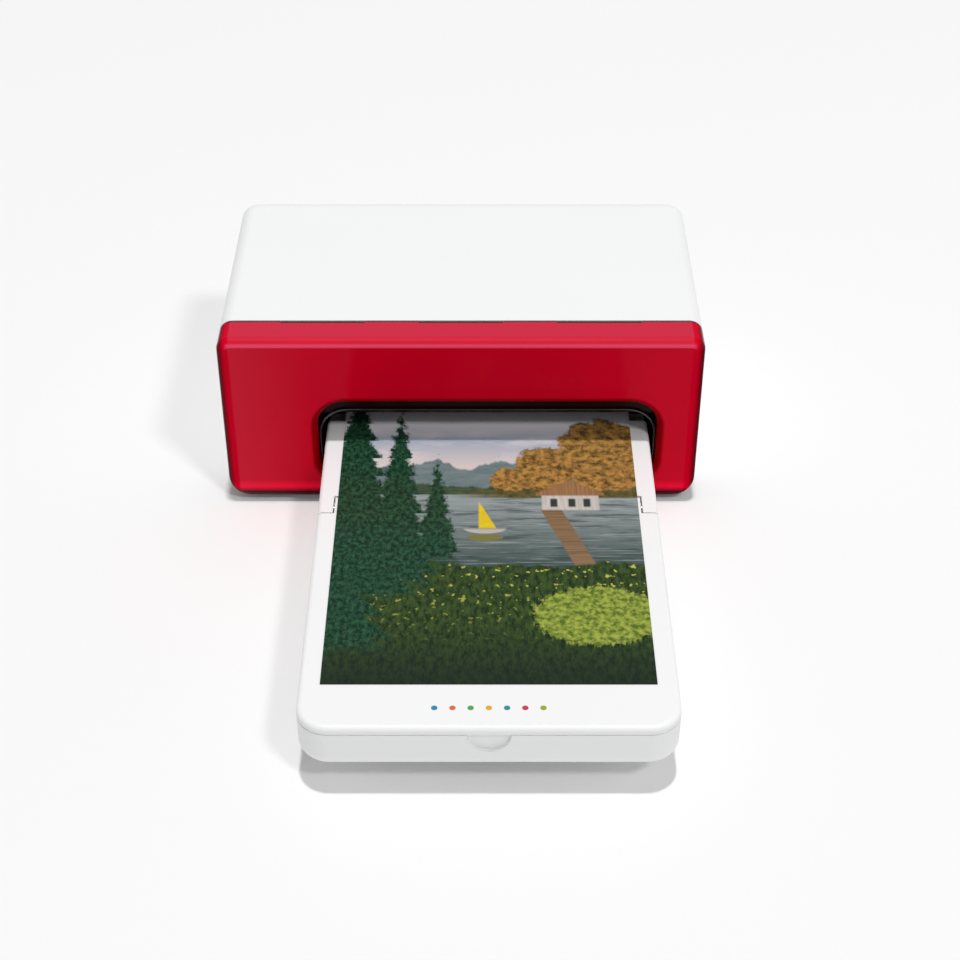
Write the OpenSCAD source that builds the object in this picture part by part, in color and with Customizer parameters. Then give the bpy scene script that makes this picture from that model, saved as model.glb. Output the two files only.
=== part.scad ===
// Compact photo printer: a white casing with a glossy coloured bezel, a paper
// tray that slides in below the print slot, and a ribbon cartridge behind a side door.
// +Z is up, -Y is the front, and the origin is on the table under the middle.

/* [Body] */
// Width of the body at its base
body_w = 168; // [164:1:176]
// Height of the body above the table, feet included
body_h = 69.5; // [68:0.5:78]
// Depth of the body from the bezel's face to its back
body_d = 99.5; // [99:0.5:108]
// Lean of the side walls, wider at the base, in degrees
side_draft = 0.2; // [0:0.1:1]
// Radius of the two long edges at the top
top_r = 5; // [3:0.5:7]
// Radius of the two long edges at the base
base_r = 8; // [4:0.5:10]
// Radius round the back
back_r = 8; // [4:0.5:9]
// Thickness of the casing's wall
wall = 2.2; // [1.8:0.1:2.6]
// Height of the rubber feet
foot_h = 1.5; // [1.2:0.1:2]
// Radius of a rubber foot
foot_r = 5; // [3:0.5:6]

/* [Bezel] */
// Depth of the coloured bezel along the top
bezel_d = 13; // [11:0.5:14]
// Thickness of the bezel's wall
bezel_wall = 2.4; // [2:0.1:3]
// Radius round the bezel's front edge
face_r = 3; // [2:0.5:4]
// Width of the window that the tray goes through
window_w = 119.8; // [118.8:0.2:120]
// Height of the window's top edge above the table
window_top = 43.4; // [40:0.2:44]
// How far the dark lip behind the bezel hangs below the window's top edge
lip_drop = 7.8; // [5:0.2:8.4]
// Height of the window's lower edge above the table
window_low = 8.4; // [7.8:0.2:8.6]
// Corner radius of the window
window_r = 10.5; // [8:0.5:12]
// Width of each vent in the seam behind the bezel
vent_w = 29.3; // [20:0.1:36]
// Front to back gap of each vent
vent_gap = 1.3; // [0.8:0.1:2]
// Distance from one vent's middle to the next
vent_pitch = 47.7; // [44:0.1:48]

/* [Paper tray] */
// How far the tray's middle stands to the right of the body's middle
tray_x = 9.2; // [8.8:0.1:9.4]
// Width of the tray
tray_w = 114.8; // [114:0.2:115]
// How far the tray reaches out in front of the bezel
tray_reach = 140.5; // [139:0.5:146]
// Height of the tray's top above the table
tray_top = 27.3; // [27:0.1:27.5]
// Height of the tray's underside above the table
tray_low = 10.4; // [10.3:0.1:10.8]
// Thickness of the tray's lid
lid_t = 3.1; // [2.8:0.1:3.3]
// Distance from the bezel's face to the lid's seam
lid_seam = 40; // [38:0.5:44]
// Radius of the tray's front corners, seen from above
tray_corner_r = 10; // [8:0.5:18]
// Radius round the tray's lower edges
tray_edge_r = 4.5; // [3:0.5:6]
// Radius round the lid's upper edges
lid_edge_r = 1.6; // [0.8:0.1:2]
// Radius of the half-round finger notch in the tray's front
notch_r = 6.6; // [5:0.2:8]

/* [Paper] */
// Width of a sheet and of the finished print
print_w = 101.6; // [100:0.1:101.6]
// Length of a sheet and of the finished print
print_l = 152.4; // [148:0.1:152.4]
// Thickness of the finished print
print_t = 0.3; // [0.25:0.05:0.3]
// Height of the stack of blank sheets
stack_h = 3; // [1:0.5:3]

/* [Ribbon cartridge and door] */
// Outer radius of the cartridge's two tubes
tube_r = 9.5; // [9:0.1:9.6]
// Distance between the two ribbon spools
spool_gap = 32; // [31.5:0.1:32.5]
// Height of the side door's hinge above the table
door_hinge_z = 16; // [14:0.5:18]
// Height of the side door's top edge above the table
door_top = 60; // [59:0.2:60.4]

/* [Hidden] */

$fn = 48;

// Places along Y
face_y = (tray_reach - body_d) / 2;
front_y = face_y - tray_reach;
back_y = face_y + body_d;
seam_y = face_y + bezel_d;

// Colours
white_plastic = [0.95, 0.95, 0.95];
red_plastic = [0.78, 0.02, 0.1];
black_plastic = [0.09, 0.09, 0.1];
grey_plastic = [0.7, 0.71, 0.72];
steel = [0.72, 0.73, 0.75];
rubber = [0.16, 0.16, 0.17];
gear_plastic = [0.9, 0.88, 0.8];
board_green = [0.08, 0.34, 0.2];
film_purple = [0.28, 0.11, 0.32];

// Tray
seam_gap = 0.4;
tray_back_y = face_y + 44.5;
lid_y = face_y - lid_seam;
rail_end_y = face_y + 12.2;
cover_z = tray_top - lid_t;
tray_floor = 1.5;
paper_side_gap = 1;
cavity_w = print_w + 2 * paper_side_gap;
tab_w = tray_w - 11.4;
slot_w = 1;
tab_l = 8;
lid_pin_r = 0.9;
lid_pin_at = [lid_y + 4, tray_top - 1.6];
low_wall_z = 20.4;
rear_wall_z = 18.5;
paper_rest_z = 16;
lift_pin_r = 0.7;
lift_pin_at = [face_y - 25.5, paper_rest_z - lift_pin_r - 0.1];
print_front_y = face_y - 122.3;
stack_back_y = face_y + 41.5;

// Chassis plates
plate_t = 1.2;
plate_left_x = tray_x - 62.7;
plate_right_x = tray_x + 61.1;
plate_z = foot_h + 2;
plate_top = 63.5;
plate_y0 = face_y + 17.3;
plate_y1 = face_y + 91.5;
inner_left_x = plate_left_x + plate_t;

// Drive train: axes as [y, z], one gear plane on the left of the chassis
tooth_pitch_r = 0.25;
platen_teeth = 24;
grip_teeth = 16;
pickup_teeth = 24;
exit_teeth = 12;
idler_teeth = 16;
takeup_teeth = 28;
pinion_teeth = 12;
platen_r = platen_teeth * tooth_pitch_r;
grip_r = grip_teeth * tooth_pitch_r;
pickup_r = pickup_teeth * tooth_pitch_r;
exit_r = exit_teeth * tooth_pitch_r;
idler_r = idler_teeth * tooth_pitch_r;
takeup_r = takeup_teeth * tooth_pitch_r;
pinion_r = pinion_teeth * tooth_pitch_r;
roller_gap = 0.3;
platen_at = [face_y + 62.5, 25];
grip_at = [face_y + 49.5, 27];
pinch_r = 3;
pinch_at = [grip_at[0], grip_at[1] + grip_r + roller_gap + pinch_r];
pickup_at = [face_y + 36.2, paper_rest_z + stack_h + roller_gap + pickup_r];
exit_at = [face_y + 23.5, tray_top - roller_gap - exit_r];
wheels_at = [exit_at[0], tray_top + print_t + roller_gap + exit_r];
takeup_at = [face_y + 46.5, 48];
supply_at = [takeup_at[0] + spool_gap, takeup_at[1]];
shaft_r = 1.5;
thin_shaft_r = 1;
post_r = 1.2;
run_fit = 0.05;
bush_r = 2.5;
gear_w = 3.5;
gear_x = plate_left_x - 6;
shaft_x0 = gear_x - 0.3;
shaft_x1 = plate_right_x + plate_t + 1.3;
thin_shaft_x0 = plate_left_x - 0.5;
thin_shaft_x1 = plate_right_x + plate_t + 0.5;
roller_half_w = 54;
pinch_half_w = 53;
exit_half_w = 46;
hub_r = 2.6;

// Print head and cartridge
head_w = 104;
head_t = 7;
head_z = platen_at[1] + platen_r + 0.5;
arm_z = takeup_at[1] + tube_r + 1;
head_pin_at = [face_y + 87.5, arm_z + 1.5];
head_pin_r = 1.2;
tube_wall = 1.2;
tube_x0 = tray_x - 59.2;
tube_x1 = tray_x + 54.8;
film_w = 102;

// Side door: the hinge line runs through its thickness
door_y0 = face_y + 31.5;
door_y1 = face_y + 89.5;
door_gap = 0.4;
door_pin_r = 0.7;
door_t = wall + 0.6;
door_pin_x = body_w / 2 - (door_hinge_z - foot_h) * tan(side_draft) - door_t / 2 - 0.05;

// ---- Shared shapes ----

// Points of an arc about c, from angle a0 to a1: a plain bevel where it is small
function arc(c, r, a0, a1) =
    let(n = r < 1 ? 1 : 6)
    [for (i = [0:n]) let(a = a0 + (a1 - a0) * i / n) [c[0] + r * cos(a), c[1] + r * sin(a)]];

// Where circles of radius r1 about p1 and r2 about p2 cross, left or right of the line
function meet(p1, r1, p2, r2, side) =
    let(d = norm(p2 - p1), a = (d * d + r1 * r1 - r2 * r2) / (2 * d),
        h = sqrt(r1 * r1 - a * a), u = (p2 - p1) / d)
    p1 + a * u + side * h * [-u[1], u[0]];

// Direction from one point to another, in degrees
function toward(p, q) = atan2(q[1] - p[1], q[0] - p[0]);

// Turn of a gear with m teeth that meshes with one of n teeth turned by t, standing at angle f from it
function meshed(f, t, n, m) = f + 180 - (0.5 - (f - t) * n / 360) * 360 / m;

// The body's outline seen from the front, drawn in by inset
function body_outline(inset) =
    let(a = side_draft,
        reach = cos(a) * body_w / 2 + sin(a) * foot_h - inset,
        rt = max(top_r - inset, 0.4), rb = max(base_r - inset, 0.4),
        zt = body_h - inset - rt, zb = foot_h + inset + rb,
        xt = (reach - rt - sin(a) * zt) / cos(a), xb = (reach - rb - sin(a) * zb) / cos(a))
    concat(arc([xt, zt], rt, a, 90), arc([-xt, zt], rt, 90, 180 - a),
           arc([-xb, zb], rb, 180 - a, 270), arc([xb, zb], rb, 270, 360 + a));

// A rectangle from low to high with corner radii r0 at its low end and r1 at its high end of axis one
function ended_outline(low, high, r0, r1) =
    concat(arc([high[0] - r1, high[1] - r1], r1, 0, 90), arc([low[0] + r0, high[1] - r0], r0, 90, 180),
           arc([low[0] + r0, low[1] + r0], r0, 180, 270), arc([high[0] - r1, low[1] + r1], r1, 270, 360));

// The body from y0 to y1, with its edges rounded by r0 in front and r1 behind
module body_solid(inset, y0, y1, r0, r1) {
    half_w = body_w / 2 - inset;
    intersection() {
        along_y(y0, y1)
            polygon(body_outline(inset));
        along_x(-body_w, body_w)
            polygon(ended_outline([y0, foot_h + inset], [y1, body_h - inset], r0, r1));
        rotate([0, 0, 90])
            linear_extrude(body_h * 2)
                polygon(ended_outline([y0, -half_w], [y1, half_w], r0, r1));
    }
}

// A box between two corners
module block(low, high) {
    translate(low)
        cube(high - low);
}

// Turns a flat [y, z] shape into a solid along X from x0 to x1
module along_x(x0, x1) {
    translate([x0, 0, 0])
        rotate([90, 0, 90])
            linear_extrude(x1 - x0)
                children();
}

// Turns a flat [x, z] shape into a solid along Y from y0 to y1
module along_y(y0, y1) {
    translate([0, y1, 0])
        rotate([90, 0, 0])
            linear_extrude(y1 - y0)
                children();
}

// A rod along X through at = [y, z]
module rod(at, r, x0, x1) {
    translate([x0, at[0], at[1]])
        rotate([0, 90, 0])
            cylinder(r = r, h = x1 - x0);
}

// An upright post
module post(x, y, r, z0, z1) {
    translate([x, y, z0])
        cylinder(r = r, h = z1 - z0);
}

// A flat rectangle with round corners between low and high
module round_rect(low, high, r) {
    translate(low + [r, 0])
        square(high - low - [2 * r, 0]);
    translate(low + [0, r])
        square(high - low - [0, 2 * r]);
    for (x = [low[0] + r, high[0] - r], y = [low[1] + r, high[1] - r])
        translate([x, y])
            circle(r);
}

// The window's outline, grown by grow
module window_outline(grow) {
    round_rect([tray_x - window_w / 2 - grow, window_low - grow],
               [tray_x + window_w / 2 + grow, window_top + grow], window_r + grow);
}

// A spur gear of n teeth about at = [y, z], turned by t, on a bore
module gear(at, n, t, bore) {
    r = n * tooth_pitch_r;
    step = 360 / n;
    along_x(gear_x, gear_x + gear_w)
        translate(at)
            difference() {
                polygon([for (i = [0:n - 1], k = [[-0.31, -0.6], [-0.13, 0.42], [0.13, 0.42], [0.31, -0.6]])
                    let(a = t + (i + k[0]) * step) [(r + k[1]) * cos(a), (r + k[1]) * sin(a)]]);
                circle(bore);
            }
}

// Idlers between the rollers' gears, hung below the line of the rollers
grip_idler_at = meet(platen_at, platen_r + idler_r, grip_at, grip_r + idler_r, 1);
pickup_idler_at = meet(grip_at, grip_r + idler_r, pickup_at, pickup_r + idler_r, 1);
exit_idler_at = meet(pickup_at, pickup_r + idler_r, exit_at, exit_r + idler_r, 1);
lower_idler_at = platen_at + (platen_r + idler_r) * [cos(110), sin(110)];
upper_idler_at = meet(lower_idler_at, 2 * idler_r, takeup_at, takeup_r + idler_r, 1);
pinion_at = platen_at + (platen_r + pinion_r) * [cos(-30), sin(-30)];

// Turns that put every gear in mesh, counted from the platen's
grip_idler_turn = meshed(toward(platen_at, grip_idler_at), 0, platen_teeth, idler_teeth);
grip_turn = meshed(toward(grip_idler_at, grip_at), grip_idler_turn, idler_teeth, grip_teeth);
pickup_idler_turn = meshed(toward(grip_at, pickup_idler_at), grip_turn, grip_teeth, idler_teeth);
pickup_turn = meshed(toward(pickup_idler_at, pickup_at), pickup_idler_turn, idler_teeth, pickup_teeth);
exit_idler_turn = meshed(toward(pickup_at, exit_idler_at), pickup_turn, pickup_teeth, idler_teeth);
exit_turn = meshed(toward(exit_idler_at, exit_at), exit_idler_turn, idler_teeth, exit_teeth);
lower_idler_turn = meshed(toward(platen_at, lower_idler_at), 0, platen_teeth, idler_teeth);
upper_idler_turn = meshed(toward(lower_idler_at, upper_idler_at), lower_idler_turn, idler_teeth, idler_teeth);
takeup_turn = meshed(toward(upper_idler_at, takeup_at), upper_idler_turn, idler_teeth, takeup_teeth);
pinion_turn = meshed(toward(platen_at, pinion_at), 0, platen_teeth, pinion_teeth);

// The four driven or bushed rollers, and the places of the five idler posts
bushed_axes = [platen_at, grip_at, pickup_at, exit_at];
post_axes = [grip_idler_at, pickup_idler_at, exit_idler_at, lower_idler_at, upper_idler_at];

// ---- Casing ----

// Rear slot that the sheet passes through while it is printed
slot_low = 28;
slot_high = 35.5;
slot_half_w = print_w / 2 + 2.2;
button_at = [-66, 50];
button_r = 5;
light_at = [-66, 37];
light_r = 1.5;
inlet_at = [-70, 12.5];
inlet_r = 4;
usb_x = -58;
usb_w = 8.4;
usb_h = 3.8;
back_hole_y = back_y - 8;
back_hole_l = 10;
power_board_z = 7;
power_board_top = power_board_z + 1.4;
hole_gap = 0.4;

module main_casing() {
    color(white_plastic)
        difference() {
            body_solid(0, seam_y, back_y, 0.5, back_r);
            body_solid(wall, seam_y - back_r, back_y - wall, 0.5, back_r - wall);
            block([-body_w, seam_y - 1, 0], [body_w, back_y + 1, foot_h + 2.2]);
            block([tray_x - slot_half_w, back_hole_y, slot_low], [tray_x + slot_half_w, back_y + 1, slot_high]);
            block([body_w / 2 - 8, door_y0 - door_gap, door_hinge_z - door_t / 2 - door_gap],
                  [body_w, door_y1 + door_gap, door_top + door_gap]);
            translate([door_pin_x, door_y0 - 4, door_hinge_z])
                rotate([-90, 0, 0])
                    cylinder(r = door_pin_r, h = door_y1 - door_y0 + 8);
            for (hole = [[button_at, button_r + 0.25], [light_at, light_r], [inlet_at, inlet_r + 0.2]])
                translate([hole[0][0], back_hole_y, hole[0][1]])
                    rotate([-90, 0, 0])
                        cylinder(r = hole[1], h = back_hole_l);
            block([usb_x - usb_w / 2 - hole_gap, back_hole_y, power_board_top - hole_gap],
                  [usb_x + usb_w / 2 + hole_gap, back_y + 1, power_board_top + usb_h + hole_gap]);
        }
}

module base_pan() {
    pan_y0 = face_y + bezel_wall + 0.3;
    pan_y1 = back_y - wall - 0.3;
    color(grey_plastic)
        difference() {
            intersection() {
                body_solid(0, seam_y, back_y, 0.5, back_r);
                block([-body_w, seam_y, 0], [body_w, back_y, plate_z]);
            }
            for (p = screw_places)
                post(p[0], p[1], screw_r, 0, plate_z - 0.8);
        }
    color(grey_plastic)
        intersection() {
            body_solid(wall + 0.3, pan_y0, pan_y1, 0.5, back_r - wall);
            block([-body_w, pan_y0, plate_z - 1.2], [body_w, pan_y1, plate_z]);
        }
}

screw_r = 1.6;
screw_places = [for (x = [-60, 60], y = [face_y + 28, face_y + 78]) [x, y]];
foot_places = [for (x = [-66, 66], y = [face_y + 17, face_y + 85]) [x, y]];

module rubber_feet() {
    color(rubber)
        for (p = foot_places)
            post(p[0], p[1], foot_r, 0, foot_h);
}

module casing_screws() {
    color(steel)
        for (p = screw_places)
            difference() {
                post(p[0], p[1], screw_r, foot_h + 0.2, plate_z - 0.8);
                block([p[0] - 1, p[1] - 0.2, 0], [p[0] + 1, p[1] + 0.2, foot_h + 0.8]);
                block([p[0] - 0.2, p[1] - 1, 0], [p[0] + 0.2, p[1] + 1, foot_h + 0.8]);
            }
}

// ---- Bezel and print slot ----

lip_d = 6;
lip_t = 1.4;
liner_gap = 0.6;
backing_t = 1.5;
ring_y1 = seam_y + 4;

module front_bezel() {
    color(red_plastic)
        difference() {
            union() {
                difference() {
                    body_solid(0, face_y, seam_y, face_r, 0.5);
                    body_solid(bezel_wall, face_y + bezel_wall, seam_y + 5, 1, 0.5);
                }
                along_y(face_y + 1, face_y + lip_d)
                    window_outline(lip_t);
            }
            along_y(face_y - 1, seam_y)
                window_outline(0);
            for (i = [-1:1])
                block([i * vent_pitch - vent_w / 2, seam_y - vent_gap, body_h - bezel_wall - 1],
                      [i * vent_pitch + vent_w / 2, seam_y + 1, body_h + 1]);
        }
}

// A dark plate behind the bezel, with a ring round its rim and a lip across the window's top
module bezel_backing() {
    gap = 0.25;
    plate_y = face_y + lip_d;
    color(black_plastic)
        difference() {
            intersection() {
                body_solid(bezel_wall + gap, face_y, ring_y1, 0.5, 0.5);
                block([-body_w, plate_y, plate_z], [body_w, ring_y1, body_h]);
            }
            intersection() {
                body_solid(bezel_wall + gap + backing_t, face_y, ring_y1 + 5, 0.5, 0.5);
                block([-body_w, plate_y + backing_t, 0], [body_w, ring_y1 + 5, body_h]);
            }
            intersection() {
                along_y(face_y, ring_y1)
                    window_outline(liner_gap);
                block([-body_w, face_y, 0], [body_w, ring_y1, window_top - lip_drop]);
            }
        }
}

module throat_liner() {
    liner_t = 1.1;
    y0 = face_y + lip_d + backing_t;
    y1 = face_y + 19;
    half_w = window_w / 2;
    color(black_plastic)
        difference() {
            along_y(y0, y1)
                round_rect([tray_x - half_w - liner_t, window_low],
                           [tray_x + half_w + liner_t, window_top + liner_t + liner_gap], window_r);
            along_y(y0 - 1, y1 + 1)
                round_rect([tray_x - half_w, window_low - 5], [tray_x + half_w, window_top + liner_gap], window_r - 1);
            block([-body_w, y0 - 1, 0], [body_w, y1 + 1, guide_top + 1]);
        }
}

guide_top = 18;
guide_gap = 0.5;
guide_t = 1.6;
guide_y0 = ring_y1 + 0.3;
guide_y1 = face_y + 45.5;
ledge_w = 7;

module tray_guides() {
    color(black_plastic)
        for (side = [-1, 1]) {
            outer = tray_x + side * (tray_w / 2 + guide_gap + guide_t);
            wall_x = outer - side * guide_t;
            inner = outer - side * ledge_w;
            block([min(outer, wall_x), guide_y0, plate_z], [max(outer, wall_x), guide_y1, guide_top]);
            block([min(wall_x, inner), guide_y0, plate_z], [max(wall_x, inner), guide_y1, tray_low - 0.3]);
        }
}

// ---- Chassis ----

module chassis_plate(x) {
    along_x(x, x + plate_t)
        difference() {
            translate([plate_y0, plate_z])
                square([plate_y1 - plate_y0, plate_top - plate_z]);
            for (p = bushed_axes)
                translate(p)
                    circle(bush_r);
            for (p = [pinch_at, wheels_at])
                translate(p)
                    circle(thin_shaft_r + run_fit);
            translate(head_pin_at)
                circle(head_pin_r);
            children();
        }
}

module left_chassis_plate() {
    color(steel)
        chassis_plate(plate_left_x)
            for (p = [takeup_at, supply_at])
                translate(p)
                    circle(hub_r + run_fit);
}

// The right plate is open where the cartridge and its film go in
module right_chassis_plate() {
    film_room = 1.2;
    color(steel)
        chassis_plate(plate_right_x) {
            translate([takeup_at[0] - tube_r - 1.5, takeup_at[1] - tube_r - 1])
                square([spool_gap + 2 * tube_r + 3, 2 * tube_r + 1.5]);
            polygon([film_path[0] - [2, 0], film_path[1] - [1.5, film_room],
                     film_path[2] + [1.5, -film_room], film_path[3] + [2, 0]]);
        }
}

module rear_paper_guide() {
    color(black_plastic)
        block([inner_left_x, platen_at[0] + platen_r + 1.5, 29.2], [plate_right_x, back_y - wall - 0.4, 30.2]);
}

module roller_bushes() {
    color(gear_plastic)
        for (p = bushed_axes, x = [plate_left_x, plate_right_x]) {
            out = x < 0 ? x - 0.8 : x + plate_t;
            difference() {
                union() {
                    rod(p, bush_r, x, x + plate_t);
                    rod(p, bush_r + 0.8, out, out + 0.8);
                }
                rod(p, shaft_r + run_fit, x - 2, x + plate_t + 2);
            }
        }
}

module gear_posts() {
    color(steel)
        for (p = post_axes) {
            rod(p, post_r, shaft_x0 - 0.5, plate_left_x);
            rod(p, post_r + 1, plate_left_x - 1.2, plate_left_x);
        }
}

// ---- Boards and sockets ----

bracket_y0 = plate_y0 + 2;
bracket_y1 = plate_y0 + 18;
bracket_z = 57.3;
board_z = 60.5;
board_t = 1.6;
board_y = plate_y0 + 4;
chip_z = board_z + board_t;

module board_bracket() {
    color(steel) {
        block([inner_left_x, bracket_y0, bracket_z], [plate_right_x, bracket_y1, bracket_z + 1.2]);
        for (x = [-40, 58], y = [bracket_y0 + 3, bracket_y1 - 3])
            post(x, y, 1.8, bracket_z + 1.2, board_z);
    }
}

module main_board() {
    color(board_green)
        block([-44, board_y, board_z], [62, board_y + 14.5, chip_z]);
    color(black_plastic) {
        block([-12, board_y + 2, chip_z], [2, board_y + 12, chip_z + 1.4]);
        block([14, board_y + 3, chip_z], [24, board_y + 10, chip_z + 1.2]);
        for (x = [32:6:50])
            block([x, board_y + 4, chip_z], [x + 4, board_y + 8, chip_z + 1]);
    }
}

module power_board() {
    color(board_green) {
        block([-79, face_y + 42, power_board_z], [-56, back_y - 5, power_board_top]);
        for (x = [-76, -60], y = [face_y + 46, back_y - 14])
            post(x, y, 1.6, plate_z, power_board_z);
    }
    color(black_plastic) {
        post(-72, face_y + 48, 4, power_board_top, 20);
        post(-62, face_y + 48, 3, power_board_top, 14.5);
    }
}

module power_inlet() {
    y1 = back_y - wall - 0.2;
    color(black_plastic)
        difference() {
            union() {
                block([inlet_at[0] - 4.6, y1 - 9, power_board_top], [inlet_at[0] + 4.6, y1, inlet_at[1] + 4.6]);
                translate([inlet_at[0], y1, inlet_at[1]])
                    rotate([-90, 0, 0])
                        cylinder(r = inlet_r, h = back_y - y1 - 0.4);
            }
            translate([inlet_at[0], y1 - 7, inlet_at[1]])
                rotate([-90, 0, 0])
                    cylinder(r = 2.75, h = 12);
        }
    color(steel)
        translate([inlet_at[0], y1 - 7, inlet_at[1]])
            rotate([-90, 0, 0])
                cylinder(r = 0.85, h = 7.5);
}

module usb_socket() {
    y1 = back_y - 0.6;
    color(steel)
        difference() {
            block([usb_x - usb_w / 2, y1 - 8, power_board_top], [usb_x + usb_w / 2, y1, power_board_top + usb_h]);
            along_y(y1 - 6.5, y1 + 1)
                round_rect([usb_x - usb_w / 2 + 0.5, power_board_top + 0.5],
                           [usb_x + usb_w / 2 - 0.5, power_board_top + usb_h - 0.5], 1.2);
        }
    color(black_plastic)
        block([usb_x - 2.6, y1 - 6.5, power_board_top + usb_h / 2 - 0.35],
              [usb_x + 2.6, y1 - 1.5, power_board_top + usb_h / 2 + 0.35]);
}

switch_y = back_y - 10;

module button_board() {
    color(board_green)
        block([-74, switch_y - 1.4, 32], [-58, switch_y, 58]);
    color(grey_plastic)
        for (z = [33.5, 56.5])
            block([-74, switch_y, z - 1.5], [-72, back_y - wall - 0.1, z + 1.5]);
    color(black_plastic)
        block([button_at[0] - 3, switch_y, button_at[1] - 3], [button_at[0] + 3, switch_y + 3, button_at[1] + 3]);
}

module status_light() {
    color([0.6, 0.9, 0.7])
        translate([light_at[0], switch_y, light_at[1]])
            rotate([-90, 0, 0])
                cylinder(r = light_r - 0.1, h = back_y - switch_y - 0.2);
}

button_travel = 0.8;

module power_button() {
    color(white_plastic) {
        translate([button_at[0], back_y - 3, button_at[1]])
            rotate([-90, 0, 0])
                cylinder(r = button_r, h = 2.9);
        translate([button_at[0], switch_y + 3 + button_travel + 0.2, button_at[1]])
            rotate([-90, 0, 0])
                cylinder(r = 1.5, h = back_y - 3 - switch_y - 3 - button_travel - 0.2);
    }
}

// ---- Motor, rollers and gears ----

motor_r = 9.5;
motor_x0 = plate_left_x - 26;
motor_x1 = plate_left_x - 8;
bracket_t = 1.2;

module feed_motor() {
    color(steel)
        difference() {
            union() {
                rod(pinion_at, motor_r, motor_x0, motor_x1);
                rod(pinion_at, 3, motor_x1, motor_x1 + bracket_t);
            }
            rod(pinion_at, thin_shaft_r + run_fit, motor_x1 - 4, motor_x1 + 3);
        }
}

module motor_bracket() {
    stand_offs = [[-12, -9], [10.5, 9], [10.5, -9]];
    color(steel) {
        along_x(motor_x1, motor_x1 + bracket_t)
            difference() {
                translate(pinion_at - [14, 12])
                    square([27, 24]);
                translate(pinion_at)
                    circle(3);
                translate(platen_at)
                    circle(3.5);
            }
        for (s = stand_offs)
            rod(pinion_at + [s[0], s[1]], 1.5, motor_x1 + bracket_t, plate_left_x);
    }
}

module motor_pinion() {
    color([0.8, 0.66, 0.35])
        gear(pinion_at, pinion_teeth, pinion_turn, thin_shaft_r);
    color(steel)
        rod(pinion_at, thin_shaft_r, motor_x1 - 3, gear_x + gear_w);
}

module platen_roller() {
    color(rubber)
        difference() {
            rod(platen_at, platen_r, tray_x - roller_half_w, tray_x + roller_half_w);
            rod(platen_at, shaft_r, tray_x - roller_half_w - 1, tray_x + roller_half_w + 1);
        }
    color(steel)
        rod(platen_at, shaft_r, shaft_x0, shaft_x1);
}

module grip_roller() {
    color(steel) {
        rod(grip_at, grip_r, tray_x - roller_half_w, tray_x + roller_half_w);
        rod(grip_at, shaft_r, shaft_x0, shaft_x1);
    }
}

module pinch_roller() {
    color(rubber)
        rod(pinch_at, pinch_r, tray_x - pinch_half_w, tray_x + pinch_half_w);
    color(steel)
        rod(pinch_at, thin_shaft_r, thin_shaft_x0, thin_shaft_x1);
}

module pickup_roller() {
    pickup_w = 12;
    color(rubber)
        for (x = [tray_x - 22, tray_x + 10])
            difference() {
                rod(pickup_at, pickup_r, x, x + pickup_w);
                rod(pickup_at, shaft_r, x - 1, x + pickup_w + 1);
            }
    color(steel)
        rod(pickup_at, shaft_r, shaft_x0, shaft_x1);
}

module exit_roller() {
    color(rubber)
        difference() {
            rod(exit_at, exit_r, tray_x - exit_half_w, tray_x + exit_half_w);
            rod(exit_at, shaft_r, tray_x - exit_half_w - 1, tray_x + exit_half_w + 1);
        }
    color(steel)
        rod(exit_at, shaft_r, shaft_x0, shaft_x1);
    color(gear_plastic)
        gear(exit_at, exit_teeth, exit_turn, shaft_r);
}

module exit_wheels() {
    wheel_pitch = 14;
    wheel_w = 4;
    color(black_plastic)
        for (x = [tray_x - 3 * wheel_pitch:wheel_pitch:tray_x + 3 * wheel_pitch])
            rod(wheels_at, exit_r, x - wheel_w / 2, x + wheel_w / 2);
    color(steel)
        rod(wheels_at, thin_shaft_r, thin_shaft_x0, thin_shaft_x1);
}

module platen_gear() {
    color(gear_plastic)
        gear(platen_at, platen_teeth, 0, shaft_r);
}

module grip_gear() {
    color(gear_plastic)
        gear(grip_at, grip_teeth, grip_turn, shaft_r);
}

module pickup_gear() {
    color(gear_plastic)
        gear(pickup_at, pickup_teeth, pickup_turn, shaft_r);
}

module idler(at, turn) {
    color(gear_plastic)
        gear(at, idler_teeth, turn, post_r + run_fit);
}

// ---- Ribbon drive, print head and cartridge ----

hub_nose_x = inner_left_x + 6;

module hub_shaft(at) {
    rod(at, hub_r, shaft_x0, hub_nose_x);
}

module takeup_hub() {
    color(gear_plastic) {
        gear(takeup_at, takeup_teeth, takeup_turn, hub_r);
        hub_shaft(takeup_at);
    }
}

module supply_hub() {
    color(gear_plastic) {
        rod(supply_at, 6, gear_x, gear_x + 2);
        hub_shaft(supply_at);
    }
}

module print_head() {
    fin_n = 12;
    fin_gap = 3;
    fin_pitch = 8.2;
    bar_top = head_z + 1.5;
    x0 = tray_x - head_w / 2;
    color([0.86, 0.84, 0.8])
        block([x0, platen_at[0] - head_t / 2, head_z], [x0 + head_w, platen_at[0] + head_t / 2, bar_top]);
    color([0.6, 0.62, 0.64])
        difference() {
            block([x0, platen_at[0] - 3, bar_top], [x0 + head_w, platen_at[0] + 3, arm_z]);
            for (i = [0:fin_n - 1])
                block([x0 + 4 + i * fin_pitch, platen_at[0] - 4, bar_top + 4.5],
                      [x0 + 4 + i * fin_pitch + fin_gap, platen_at[0] - 1, arm_z - 3]);
        }
}

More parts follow.
